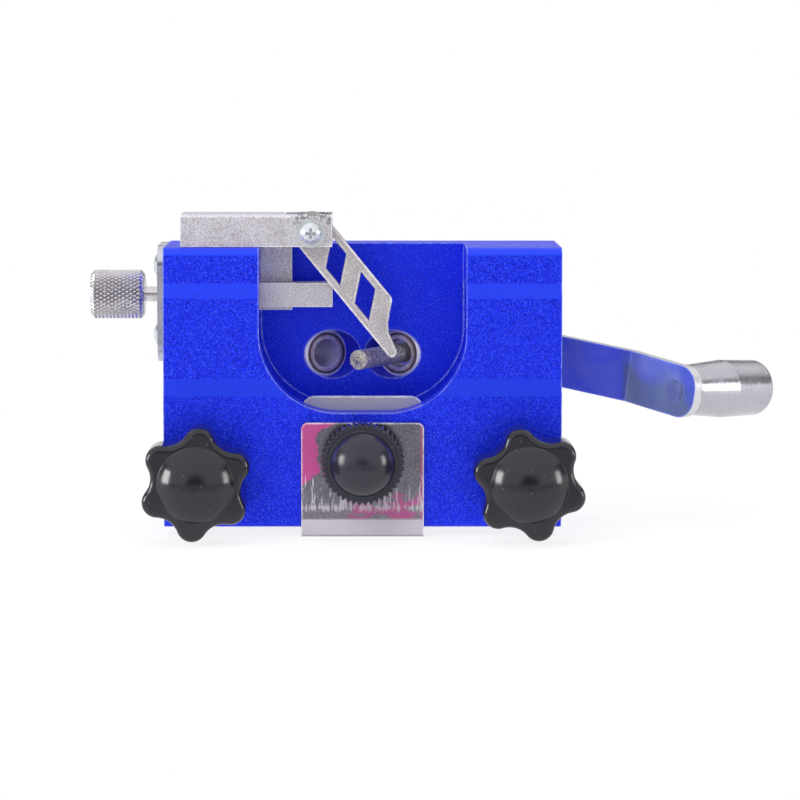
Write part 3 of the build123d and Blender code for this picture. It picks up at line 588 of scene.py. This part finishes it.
def filmed_sheet(colours):
    """Polished stainless sheet: rests of a pink film, dried runs near the bottom, a pale band at the fold.

    Places across and up the sheet are shares of its width and height.
    """
    finish = Finish("filmed sheet")
    low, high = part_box("depth_clip")
    size = high - low
    scale, shift = (1 / size.x, 1, 1 / size.z), (-low.x / size.x, 0, -low.z / size.z)
    across, deep, up = finish.parts(finish.mapped(scale, shift=shift))
    front = finish.fade(deep, low.y + 0.5 * mm, low.y + 0.2 * mm)
    inner = finish.fade(deep, low.y + 2 * mm, low.y + 3 * mm)
    above_fold = finish.fade(up, 0.125, 0.14)

    # the film has kept a strip at the left that widens upwards, patches below, and a line at the right
    torn = finish.fade(finish.noise(1.1 * mm, 3.0, 0.6), 0.3, 0.7, -0.012, 0.012)
    wander = finish.fade(finish.noise(5 * mm), 0.25, 0.75, 0.10, 0.19)
    rim = finish.reckon("ADD", finish.reckon("ADD", wander, torn), finish.fade(up, 0.74, 0.94, 0.0, 0.28))
    foot = finish.reckon("ADD", finish.reckon("MULTIPLY_ADD", across, 0.68, 0.37), torn)
    left = finish.times(
        finish.fade(finish.reckon("SUBTRACT", across, rim), -0.01, 0.01, 1, 0),
        finish.fade(finish.reckon("SUBTRACT", up, foot), -0.01, 0.01),
    )
    patch = finish.times(
        finish.fade(finish.noise(3.6 * mm, 4.0, 0.6, finish.mapped((0.7, 1, 1.6))), 0.46, 0.54),
        finish.fade(across, 0.3, 0.5),
        finish.fade(finish.reckon("ADD", up, torn), 0.30, 0.35, 0.7, 0.0),
    )
    film = finish.most(left, patch, finish.fade(across, 0.965, 0.975, 0.0, 0.5))
    film = finish.times(film, front, above_fold)

    finish.shade = finish.blend(
        finish.fade(finish.noise(4.5 * mm, 3.0, 0.55), 0.3, 0.7), colours.sheet, sheet_cloud
    )
    finish.tint(inner, sheet_inner, 0.9)
    finish.tint(finish.fade(finish.noise(0.45 * mm, 3.0, 0.7), 0.45, 0.65), sheet_grain, 0.5)
    pink = finish.blend(finish.fade(up, 0.3, 0.8), colours.film, [part * 0.8 for part in colours.film])
    finish.tint(film, pink, 0.92)

    # dried runs hang from an uneven crest down to a crust
    runs = finish.noise(0.5 * mm, 2.0, 0.6, finish.mapped((1, 1, 0.14)))
    crest = finish.noise(1.1 * mm, 3.0, 0.6, finish.mapped((1, 1, 0.01)))
    below = finish.reckon("SUBTRACT", up, finish.fade(crest, 0.35, 0.68, 0.22, 0.46))
    hanging = finish.times(finish.fade(below, -0.02, 0.01, 1, 0), finish.fade(runs, 0.50, 0.57))
    crust = finish.fade(finish.reckon("ABSOLUTE", finish.reckon("SUBTRACT", up, 0.215)), 0.0, 0.03, 1, 0)
    crust = finish.times(crust, finish.fade(runs, 0.40, 0.48))
    dried = finish.times(finish.most(hanging, crust), front, finish.fade(up, 0.17, 0.21))
    finish.tint(dried, dried_run, 0.7)

    # under the film the sheet turns back, and shows paler
    band = finish.times(front, finish.reckon("SUBTRACT", 1.0, above_fold))
    finish.tint(band, fold_band, 0.9)
    line = finish.reckon("ABSOLUTE", finish.reckon("SUBTRACT", up, 0.13))
    finish.tint(finish.fade(line, 0.002, 0.006, 1, 0), fold_line, 0.5)
    # painted highlight: a white outline along the edges
    edge = finish.edge(0.6 * mm, 0.985, 0.93)
    finish.tint(edge, sheet_edge_highlight)
    dull = finish.most(dried, band, film, edge, finish.times(inner, 0.7))
    scratch = finish.use(scratch_effect(), finish.mapped(turn=(0, math.radians(90), 0)))
    rough, metal = finish.fade(dull, 0, 1, 0.2, 0.42), finish.fade(dull, 0, 1, 0.9, 0.12)
    return finish.close(scratch["Height"], 0.01 * mm, 0.3, Roughness=rough, Metallic=metal)


def grit_plating(sizes):
    """Diamond grains held in nickel: dark and light facets on a rough coat."""
    finish = Finish("grit plating")
    cells = finish.place("ShaderNodeTexVoronoi", {"Vector": finish.where, "Scale": 1 / sizes.grit_grain})
    grain = finish.place("ShaderNodeSeparateColor", {"Color": cells.outputs["Color"]}).outputs[0]
    finish.shade = finish.blend(grain, dark_grit, pale_grit)
    height, dull = finish.times(cells.outputs["Distance"], -1.0), finish.fade(grain, 0, 1, 0.25, 0.6)
    return finish.close(height, 0.12 * mm, 0.8, Roughness=dull, Metallic=0.75)


def tinted_bush(name, colours, out, seat, sizes):
    """Turned steel: a painted highlight on the outer ring, a ring of painted shade inside it, and a purple heat
    tint in the bore.
    """
    finish = Finish(name)
    centred = finish.centred(out, seat)
    rings = finish.rings(centred, sizes.turning_pitch)
    clouds = finish.noise(2.6 * mm, 3.0, 0.6)
    part = finish.parts(centred)
    reach = finish.reach(part[0], part[1])

    def ring(start, full, wane, end):
        """A band that comes up between two radii and goes down between two others."""
        rise, fall = finish.fade(reach, start * mm, full * mm), finish.fade(reach, wane * mm, end * mm, 1, 0)
        return finish.times(rise, fall)

    pale = [tone * 1.5 for tone in colours.bush]
    finish.shade = finish.blend(finish.fade(rings, 0.3, 0.7), colours.bush, pale)
    finish.tint(finish.fade(clouds, 0.45, 0.66), bush_cloud, 0.5)
    bore = finish.fade(reach, 3.05 * mm, 3.2 * mm, 1, 0)
    finish.tint(bore, bore_purple, 0.8)
    finish.tint(ring(3.1, 3.3, 3.9, 4.1), bush_tarnish, 0.7)
    # painted shade: a dark ring where the gap inside the rim lies in shadow
    finish.tint(ring(3.7, 3.85, 4.3, 4.4), bush_groove_shade, 0.85)
    # painted highlight: the outer ring near white and less metallic, so it reads bright in the recess's shade
    outward = finish.reckon("ABSOLUTE", finish.along(finish.facing(), out))
    lip = finish.times(finish.fade(reach, 4.4 * mm, 4.5 * mm), finish.fade(outward, 0.2, 0.4))
    finish.tint(lip, bush_lip_highlight)
    # painted highlight along the edges
    finish.tint(finish.edge(0.25 * mm), bush_rim_highlight, 0.85)
    dull = finish.fade(clouds, 0.3, 0.7, 0.34, 0.46)
    metal = finish.fade(finish.most(lip, bore), 0, 1, 0.7, 0.1)
    return finish.close(rings, 0.04 * mm, 0.5, Roughness=dull, Metallic=metal)


def blasted_pawl(colours):
    """Blasted steel with a painted highlight along its rim, scorched brown round the two eyes on its middle line.
    """
    finish = Finish("blasted pawl")
    sparkle = finish.use(sparkle_effect(), Scale=1 / (0.28 * mm), Share=0.5)
    edge, burnt = finish.edge(0.8 * mm, 0.985, 0.955), finish.edge(0.45 * mm, 0.99, 0.96)
    clouds = finish.noise(3 * mm, 3.0, 0.6)
    finish.shade = finish.blend(finish.fade(clouds, 0.3, 0.7), colours.steel, pale_steel)
    finish.tint(finish.fade(finish.noise(0.28 * mm, 2.0, 0.6), 0.42, 0.58), steel_pit, 0.65)
    finish.tint(sparkle["Facets"], steel_facet, 0.8)
    pivot, mouth = Vector(joints["pawl_lift"]["pos_m"]), Vector(joints["crank_spin"]["pos_m"])
    claw_from_mouth, middle_offset, half_eye = Vector((2.7, 0, 2.6)) * mm, 0.2 * mm, 2.9 * mm
    middle = mouth + claw_from_mouth - pivot
    across = Vector((-middle.z, 0, middle.x)).normalized()
    off = finish.reckon("SUBTRACT", finish.along(finish.offset(pivot), across), middle_offset)
    eyes = finish.fade(finish.reckon("ABSOLUTE", off), half_eye, half_eye + 0.2 * mm, 1, 0)
    forward = finish.reckon("ABSOLUTE", finish.parts(finish.facing())[1])
    scorch = finish.most(finish.times(burnt, eyes), finish.fade(forward, 0.5, 0.8, 1, 0))
    # painted highlight: near white along the rim, less metallic there
    finish.tint(edge, steel_edge_highlight)
    finish.tint(scorch, scorch_brown, 0.92)
    dull = finish.fade(clouds, 0.3, 0.7, 0.38, 0.5)
    metal = finish.fade(finish.most(edge, scorch), 0, 1, 0.8, 0.1)
    return finish.close(sparkle["Height"], 0.05 * mm, 0.6, Roughness=dull, Metallic=metal)


def knurled_nickel(seat, out, grooves, radius, slope, pitch):
    """Nickel plate on the thumb screw, with painted shade in the grooves that knurl() presses and painted
    highlights on its edges.
    """
    finish = Finish("knurled nickel")
    side, offset = side_of(out), finish.offset(seat)
    first, second, run = (finish.along(offset, way) for way in (side, out.cross(side), out))
    turns = finish.times(finish.reckon("ARCTAN2", second, first), grooves / (2 * math.pi))
    lead = finish.times(run, slope)
    hands = []
    for way in ("ADD", "SUBTRACT"):
        part = finish.reckon("FLOORED_MODULO", finish.reckon(way, turns, lead), 1.0)
        hands.append(finish.reckon("ABSOLUTE", finish.reckon("MULTIPLY_ADD", part, 2.0, -1.0)))
    groove = finish.fade(finish.most(*hands), 0.66, 0.92)
    rim = finish.times(
        finish.fade(finish.reach(first, second), radius * 0.92, radius * 0.94),
        finish.fade(run, pitch, pitch * 4),
    )
    rings = finish.rings(finish.centred(out, seat), pitch)
    smears = finish.noise(2.4 * mm, 3.0, 0.65)
    finish.shade = finish.blend(finish.fade(rings, 0.3, 0.7), nickel, pale_nickel)
    finish.tint(finish.fade(smears, 0.45, 0.7), nickel_smear, 0.4)
    # painted shade: dark grey in the knurl's grooves
    finish.tint(finish.times(groove, rim), knurl_groove_shade, 0.75)
    # painted highlight along the edges
    finish.tint(finish.edge(0.2 * mm), nickel_edge_highlight, 0.4)
    return finish.close(rings, 0.02 * mm, 0.3, Roughness=finish.fade(smears, 0.3, 0.7, 0.16, 0.3), Metallic=1.0)


def dress(material, *names):
    """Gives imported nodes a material."""
    for name in names:
        nodes[name].material_slots[0].material = material


def finished(shape, name, material, body):
    """Turns a bmesh into a piece that rides on a body."""
    bmesh.ops.recalc_face_normals(shape, faces=shape.faces)
    mesh = bpy.data.meshes.new(name)
    shape.to_mesh(mesh)
    shape.free()
    mesh.materials.append(material)
    piece = bpy.data.objects.new(name, mesh)
    bpy.context.scene.collection.objects.link(piece)
    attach(piece, body)
    return piece


def side_of(out):
    """A direction square to an axis."""
    return Vector(out).orthogonal().normalized()


def turned_shape(outline, seat, out, sides):
    """Spins an outline of (radius, distance) pairs round an axis through a seat."""
    out, seat = Vector(out).normalized(), Vector(seat)
    side = side_of(out)
    shape = bmesh.new()
    corners = [shape.verts.new(seat + side * radius + out * along) for radius, along in outline]
    edges = [shape.edges.new(pair) for pair in zip(corners, corners[1:])]
    whole = {"angle": 2 * math.pi, "steps": sides, "use_merge": True, "use_duplicate": False}
    bmesh.ops.spin(shape, geom=corners + edges, cent=seat, axis=out, **whole)
    bmesh.ops.remove_doubles(shape, verts=shape.verts, dist=0.001 * mm)
    return shape


def add_thread(shape, seat, out, radius, pitch, start, end):
    """Winds a ridge round an axis between two distances from its seat."""
    out, seat = Vector(out).normalized(), Vector(seat)
    side = side_of(out)
    thread_depth, crest_start, crest_end, foot_end, steps_a_turn = 0.55, 0.42, 0.58, 0.98, 24
    root = radius - pitch * thread_depth
    outline = ((root, 0), (radius, pitch * crest_start), (radius, pitch * crest_end), (root, pitch * foot_end))
    corners = [shape.verts.new(seat + side * reach + out * (start + along)) for reach, along in outline]
    edges = [shape.edges.new((corner, corners[place - 3])) for place, corner in enumerate(corners)]
    steps = round(((end - start) / pitch - 1) * steps_a_turn)
    made = bmesh.ops.spin(
        shape,
        geom=corners + edges,
        cent=seat,
        axis=out,
        dvec=out * (pitch / steps_a_turn),
        angle=steps * 2 * math.pi / steps_a_turn,
        steps=steps,
        use_duplicate=False,
    )
    shape.faces.new(corners)
    shape.faces.new([item for item in made["geom_last"] if isinstance(item, bmesh.types.BMVert)])


def knurl(shape, seat, out, grooves, depth, start, end, radius, slope):
    """Presses two hands of grooves into the rim between two distances from the seat."""
    out, seat = Vector(out).normalized(), Vector(seat)
    side = side_of(out)
    other = out.cross(side)

    def groove(turns):
        return abs(2 * (turns % 1) - 1)

    for corner in shape.verts:
        offset = corner.co - seat
        along = offset.dot(out)
        across = offset - out * along
        if start <= along <= end and across.length > radius * 0.97:
            turns = math.atan2(across.dot(other), across.dot(side)) / (2 * math.pi) * grooves
            lead = along * slope
            fade_in = min(1, (along - start) / depth, (end - along) / depth)
            sunk = depth * fade_in * max(groove(turns + lead), groove(turns - lead)) ** 2
            corner.co -= across.normalized() * sunk


class SHARPENER_OT_body(bpy.types.Operator):
    """Give the clamp body its blasted blue finish"""

    bl_idname = "sharpener.body"
    bl_label = "Body"

    def execute(self, context):
        scene = context.scene
        dress(blasted_blue(scene.sharpener_colours, scene.sharpener_sizes), "body")
        return {"FINISHED"}


class SHARPENER_OT_bushes(bpy.types.Operator):
    """Finish the two bushes that guide the spindle"""

    bl_idname = "sharpener.bushes"
    bl_label = "Bushes"

    def execute(self, context):
        scene = context.scene
        for name, side in (("bush_right", 1), ("bush_left", -1)):
            out, seat = (line * Vector((side, 1, 1)) for line in axis_of("crank_spin"))
            dress(tinted_bush(name, scene.sharpener_colours, out, seat, scene.sharpener_sizes), name)
        return {"FINISHED"}


class SHARPENER_OT_bracket(bpy.types.Operator):
    """Finish the end bracket and its two screws"""

    bl_idname = "sharpener.bracket"
    bl_label = "End bracket"

    def execute(self, context):
        dress(plated_steel("bracket zinc", dull_plate, grain=(0.4, 1, 0.4)), "end_bracket")
        dress(plated_steel("bracket screw", bright_plate, rough=(0.15, 0.28)), "bracket_screws")
        return {"FINISHED"}


class SHARPENER_OT_carriage(bpy.types.Operator):
    """Finish the sliding channel, its bar and the pivot screw"""

    bl_idname = "sharpener.carriage"
    bl_label = "Carriage"

    def execute(self, context):
        colours = context.scene.sharpener_colours
        marks_left, marks_right, marks_depth = -14.5 * mm, -6.6 * mm, 2.2 * mm
        marks = (marks_left, marks_right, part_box("pawl_channel")[1].z - marks_depth)
        dress(tumbled_aluminium("tumbled channel", colours, marks), "pawl_channel")
        dress(tumbled_aluminium("tumbled bar", colours, stained_top=True), "slide_bar")
        bright = plated_steel("pivot screw", pivot_plate, rough=(0.2, 0.3), metallic=0.6)
        dress(bright, "pivot_screw", "pivot_washer", "pivot_nut", "pivot_spacer")
        return {"FINISHED"}


class SHARPENER_OT_pawl(bpy.types.Operator):
    """Finish the pierced pawl that holds the tooth"""

    bl_idname = "sharpener.pawl"
    bl_label = "Pawl"

    def execute(self, context):
        dress(blasted_pawl(context.scene.sharpener_colours), "pawl")
        return {"FINISHED"}


class SHARPENER_OT_thumb_screw(bpy.types.Operator):
    """Make the knurled thumb screw with its thread"""

    bl_idname = "sharpener.thumb_screw"
    bl_label = "Thumb screw"

    def execute(self, context):
        sizes = context.scene.sharpener_sizes
        low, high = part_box("thumb_screw")
        out, seat = Vector((-1, 0, 0)), axis_of("thumb_turn")[1]
        radius = (high.z - low.z) / 2
        far, near = seat.x - low.x, seat.x - high.x
        neck, chamfer, step = 1.5 * mm, 0.8 * mm, 0.1 * mm
        root, thread_end, plain_start = neck - 0.35 * mm, -3.4 * mm, -3.2 * mm
        boss, boss_height, dimple, dimple_foot, dimple_depth = 0.5 * mm, 0.1 * mm, 0.45, 0.4, 0.3 * mm
        sides_a_groove, lay, knurl_inset = 10, math.radians(30), chamfer * 0.6
        corners = (corner.co for corner in nodes["thumb_screw"].data.vertices)
        gap = min(seat.x - corner.x for corner in corners if corner.z - seat.z > neck * 1.5)
        outline = [(0, near), (root, near), (root, thread_end), (neck, plain_start), (neck, gap)]
        face, rows = radius - chamfer, range(1, int((far - gap - chamfer * 2) / step))
        outline += [(face - boss, gap), (face, gap + boss_height), (radius, gap + chamfer)]
        outline += [(radius, gap + chamfer + row * step) for row in rows]
        outline += [(radius, far - chamfer), (face, far), (radius * dimple, far)]
        outline += [(radius * dimple_foot, far - dimple_depth), (0, far - dimple_depth)]
        shape = turned_shape(outline, seat, out, sizes.knurl_grooves * sides_a_groove)
        slope = sizes.knurl_grooves / (2 * math.pi * radius) * math.tan(lay)
        start, end = gap + knurl_inset, far - knurl_inset
        knurl(shape, seat, out, sizes.knurl_grooves, sizes.knurl_depth, start, end, radius, slope)
        add_thread(shape, seat, out, neck, sizes.thumb_pitch, near, thread_end - step)
        nickel = knurled_nickel(seat, out, sizes.knurl_grooves, radius, slope, sizes.turning_pitch)
        piece = finished(shape, "thumb_screw_knurled", nickel, "thumb")
        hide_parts("thumb_screw")
        dress(plated_steel("thumb ring", ring_plate), "thumb_ring")
        return {"FINISHED"}


class SHARPENER_OT_crank(bpy.types.Operator):
    """Finish the spindle, its collar and the folded crank"""

    bl_idname = "sharpener.crank"
    bl_label = "Crank"

    def execute(self, context):
        scene = context.scene
        sizes, colours = scene.sharpener_sizes, scene.sharpener_colours
        axis = axis_of("crank_spin")
        steel = turned_metal("spindle steel", colours.bush, pale_spindle, sizes.turning_pitch, *axis)
        dress(steel, "spindle", "stop_collar")
        black = plated_steel("black oxide", black_oxide, rough=(0.3, 0.45), metallic=0.6)
        dress(black, "collar_screw", "crank_screw")
        dress(plated_steel("crank washer", washer_plate), "crank_washer")
        dress(sheened_strip(colours), "crank_arm")
        # painted shade: a dark line round the rivet's rim, where the gap round the head would lie in shade
        dress(plated_steel("grip rivet", rivet_blue, metallic=0.6, rim=rivet_rim_shade), "grip_pin")
        return {"FINISHED"}


class SHARPENER_OT_burr(bpy.types.Operator):
    """Plate the burr with grit"""

    bl_idname = "sharpener.burr"
    bl_label = "Burr"

    def execute(self, context):
        dress(grit_plating(context.scene.sharpener_sizes), "burr")
        return {"FINISHED"}


class SHARPENER_OT_grip(bpy.types.Operator):
    """Finish the turned grip"""

    bl_idname = "sharpener.grip"
    bl_label = "Grip"

    def execute(self, context):
        base, pitch = context.scene.sharpener_colours.silver, context.scene.sharpener_sizes.turning_pitch
        axis = axis_of("grip_spin")
        dress(turned_metal("turned silver", base, pale_silver, pitch, *axis, rough=(0.16, 0.3)), "grip")
        return {"FINISHED"}


class SHARPENER_OT_depth_clip(bpy.types.Operator):
    """Finish the folded depth clip"""

    bl_idname = "sharpener.depth_clip"
    bl_label = "Depth clip"

    def execute(self, context):
        dress(filmed_sheet(context.scene.sharpener_colours), "depth_clip")
        return {"FINISHED"}


class SHARPENER_OT_lock_knob(bpy.types.Operator):
    """Finish the lock knob, its screw and its washer"""

    bl_idname = "sharpener.lock_knob"
    bl_label = "Lock knob"

    def execute(self, context):
        satin = [tone * 2 for tone in context.scene.sharpener_colours.plastic]
        dress(moulded_black("satin plastic", satin, rough=(0.2, 0.27), coat=0.0), "lock_knob")
        dress(plated_steel("lock steel", bright_plate), "lock_stud", "lock_washer")
        return {"FINISHED"}


class SHARPENER_OT_star_knobs(bpy.types.Operator):
    """Finish the star knobs and thread their screws"""

    bl_idname = "sharpener.star_knobs"
    bl_label = "Star knobs"

    def execute(self, context):
        scene = context.scene
        sizes, colours = scene.sharpener_sizes, scene.sharpener_colours
        gloss = moulded_black("gloss plastic", colours.plastic)
        bright = plated_steel("clamp screw", bright_plate, rough=(0.16, 0.28))
        inward, root_depth, tip_share, sides = Vector((0, 1, 0)), 0.5, 0.72, 48
        tip_length, tip_chamfer, thread_start = 1.5 * mm, 0.3 * mm, 0.1 * mm
        for side in ("left", "right"):
            dress(gloss, f"star_knob_{side}")
            low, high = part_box(f"star_stud_{side}")
            seat = Vector(((low.x + high.x) / 2, low.y, (low.z + high.z) / 2))
            radius, length = (high.x - low.x) / 2, high.y - low.y
            root, tip, shoulder = radius - sizes.clamp_pitch * root_depth, radius * tip_share, length - tip_length
            outline = [(0, 0), (root, 0), (root, shoulder - tip_chamfer), (tip, shoulder)]
            outline += [(tip, length), (0, length)]
            shape = turned_shape(outline, seat, inward, sides)
            add_thread(shape, seat, inward, radius, sizes.clamp_pitch, thread_start, shoulder)
            piece = finished(shape, f"clamp_screw_{side}", bright, f"knob_{side}")
            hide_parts(f"star_stud_{side}")
        return {"FINISHED"}


class SHARPENER_OT_clamp_pads(bpy.types.Operator):
    """Finish the two pads that press on the guide bar"""

    bl_idname = "sharpener.clamp_pads"
    bl_label = "Clamp pads"

    def execute(self, context):
        dress(plated_steel("pad zinc", dull_plate, rough=(0.24, 0.36)), "clamp_pad_left", "clamp_pad_right")
        return {"FINISHED"}


class SHARPENER_OT_stage(bpy.types.Operator):
    """Set up the floor, the lamps, the white surroundings and the camera"""

    bl_idname = "sharpener.stage"
    bl_label = "Stage"

    def execute(self, context):
        scene = context.scene
        studio, colours = scene.sharpener_studio, scene.sharpener_colours
        make_floor(colours)
        make_surroundings(scene)
        aim = Vector((0, 0, studio.aim_height))
        make_lamp("key", Vector((-0.45, -0.55, 0.55)), aim, (0.6, 0.6), studio.key_power, reflected=False)
        make_lamp("top", Vector((0.05, 0.05, 0.75)), aim, (0.7, 0.7), studio.top_power, reflected=False)
        make_lamp("left box", Vector((-0.87, -0.24, 0.14)), aim, (0.28, 0.42), studio.left_power)
        make_lamp("right box", Vector((0.87, -0.26, 0.12)), aim, (0.20, 0.42), studio.right_power)
        camera = bpy.data.cameras.new("photo view")
        camera.lens, camera.sensor_width = studio.focal, 36
        camera.shift_x, camera.shift_y = 0.0468, -0.0403
        camera.clip_start, camera.clip_end = 10 * mm, 20
        holder = bpy.data.objects.new("photo view", camera)
        scene.collection.objects.link(holder)
        back = Vector((0, -math.cos(studio.elevation), math.sin(studio.elevation)))
        holder.location = aim + back * studio.distance
        holder.rotation_euler = (-back).to_track_quat("-Z", "Y").to_euler()
        scene.camera = holder
        scene.view_settings.view_transform = "Standard"
        return {"FINISHED"}


def make_floor(colours):
    """A pale round floor that shows white to the camera and keeps a soft shadow."""
    shape = bmesh.new()
    middle = Matrix.Translation((0, 0, floor_height))
    bmesh.ops.create_circle(shape, cap_ends=True, segments=64, radius=4.0, matrix=middle)
    mesh = bpy.data.meshes.new("floor")
    shape.to_mesh(mesh)
    shape.free()
    paper = Finish("floor paper")
    shader = paper.tree.nodes["Principled BSDF"]
    shader.inputs["Roughness"].default_value = 0.9
    shader.inputs["Specular IOR Level"].default_value = 0.0
    grain = paper.blend(paper.fade(paper.noise(1.5 * mm, 3.0), 0.3, 0.7, 0.0, 0.3), colours.paper, paper_fibre)
    paper.feed(shader.inputs["Base Color"], grain)
    rays = paper.place("ShaderNodeLightPath").outputs
    # the camera sees it go to pure white with distance, and gloss sees it dark in front, where the camera stands
    reach = paper.place("ShaderNodeVectorMath", {0: paper.where}, operation="LENGTH").outputs["Value"]
    direct = paper.times(rays["Is Camera Ray"], paper.fade(reach, 0.06, 0.22, 0.84, 1.0))
    mirrored = paper.most(rays["Is Glossy Ray"], rays["Is Transmission Ray"])
    before = paper.times(mirrored, paper.fade(paper.parts()[1], -0.045, -0.10))
    mirrored = paper.times(mirrored, paper.fade(before, 0, 1, 0.78, 1.0))
    strength = paper.fade(before, 0, 1, 1.0, 0.7)
    glow = paper.place("ShaderNodeEmission", {"Color": (1, 1, 1, 1), "Strength": strength})
    joined = paper.join(paper.most(direct, mirrored), shader, glow)
    paper.feed(paper.tree.nodes["Material Output"].inputs["Surface"], joined.outputs[0])
    mesh.materials.append(paper.material)
    floor = bpy.data.objects.new("floor", mesh)
    bpy.context.scene.collection.objects.link(floor)


def make_surroundings(scene):
    """Even light all round, and white where the camera, gloss or glass looks past the object."""
    world = bpy.data.worlds.new("white room")
    scene.world = world
    world.use_nodes = True
    room = Wiring(world.node_tree)
    light = room.tree.nodes["Background"]
    light.inputs["Color"].default_value = (1, 1, 1, 1)
    light.inputs["Strength"].default_value = 0.66
    rays = room.place("ShaderNodeLightPath").outputs
    way = room.parts(room.place("ShaderNodeTexCoord").outputs["Generated"])
    # gloss shows a dark place round the camera and a dark gap between the low and the high lights
    ahead = room.fade(way[1], -0.985, -0.87, 0.16, 1.1)
    gap = room.times(
        room.fade(way[2], 0.12, 0.24), room.fade(way[2], 0.42, 0.60, 1, 0), room.fade(way[1], -0.5, -0.1)
    )
    bright = room.times(ahead, room.fade(gap, 0, 1, 1.0, 0.3))
    gloss = room.place("ShaderNodeBackground", {"Color": (1, 1, 1, 1), "Strength": bright})
    white = room.place("ShaderNodeBackground", {"Color": (1, 1, 1, 1)})
    glossy = room.most(rays["Is Glossy Ray"], rays["Is Transmission Ray"])
    seen = room.join(rays["Is Camera Ray"], room.join(glossy, light, gloss), white)
    room.feed(room.tree.nodes["World Output"].inputs["Surface"], seen.outputs[0])


def make_lamp(name, spot, aim, size, power, reflected=True):
    """A soft box that faces the object. One that isn't reflected only lights."""
    lamp = bpy.data.lights.new(name, "AREA")
    lamp.shape, lamp.energy = "RECTANGLE", power
    lamp.size, lamp.size_y = size
    holder = bpy.data.objects.new(name, lamp)
    holder.location = spot
    holder.rotation_euler = (aim - spot).to_track_quat("-Z", "Y").to_euler()
    holder.visible_glossy = reflected
    bpy.context.scene.collection.objects.link(holder)


steps = (
    SHARPENER_OT_body,
    SHARPENER_OT_bushes,
    SHARPENER_OT_bracket,
    SHARPENER_OT_carriage,
    SHARPENER_OT_pawl,
    SHARPENER_OT_thumb_screw,
    SHARPENER_OT_crank,
    SHARPENER_OT_burr,
    SHARPENER_OT_grip,
    SHARPENER_OT_depth_clip,
    SHARPENER_OT_lock_knob,
    SHARPENER_OT_star_knobs,
    SHARPENER_OT_clamp_pads,
    SHARPENER_OT_stage,
)


class SHARPENER_PT_panel(bpy.types.Panel):
    """Lists the pieces, the sizes and the colours of the sharpener"""

    bl_label = "Sharpener"
    bl_idname = "SHARPENER_PT_panel"
    bl_space_type = "VIEW_3D"
    bl_region_type = "UI"
    bl_category = "Sharpener"

    def draw(self, context):
        for step in steps:
            self.layout.operator(step.bl_idname)
        scene = context.scene
        for group in (scene.sharpener_sizes, scene.sharpener_colours, scene.sharpener_studio):
            box = self.layout.box()
            for name in group.bl_rna.properties.keys():
                if name not in ("rna_type", "name"):
                    box.prop(group, name)


classes = (SharpenerSizes, SharpenerColours, SharpenerStudio, *steps, SHARPENER_PT_panel)


def register():
    for item in classes:
        bpy.utils.register_class(item)
    bpy.types.Scene.sharpener_sizes = PointerProperty(type=SharpenerSizes)
    bpy.types.Scene.sharpener_colours = PointerProperty(type=SharpenerColours)
    bpy.types.Scene.sharpener_studio = PointerProperty(type=SharpenerStudio)


def unregister():
    for name in ("sharpener_studio", "sharpener_colours", "sharpener_sizes"):
        delattr(bpy.types.Scene, name)
    for item in reversed(classes):
        bpy.utils.unregister_class(item)


def main():
    """Runs every step in order."""
    register()
    for step in steps:
        group, name = step.bl_idname.split(".")
        getattr(getattr(bpy.ops, group), name)()


if __name__ == "__main__":
    main()
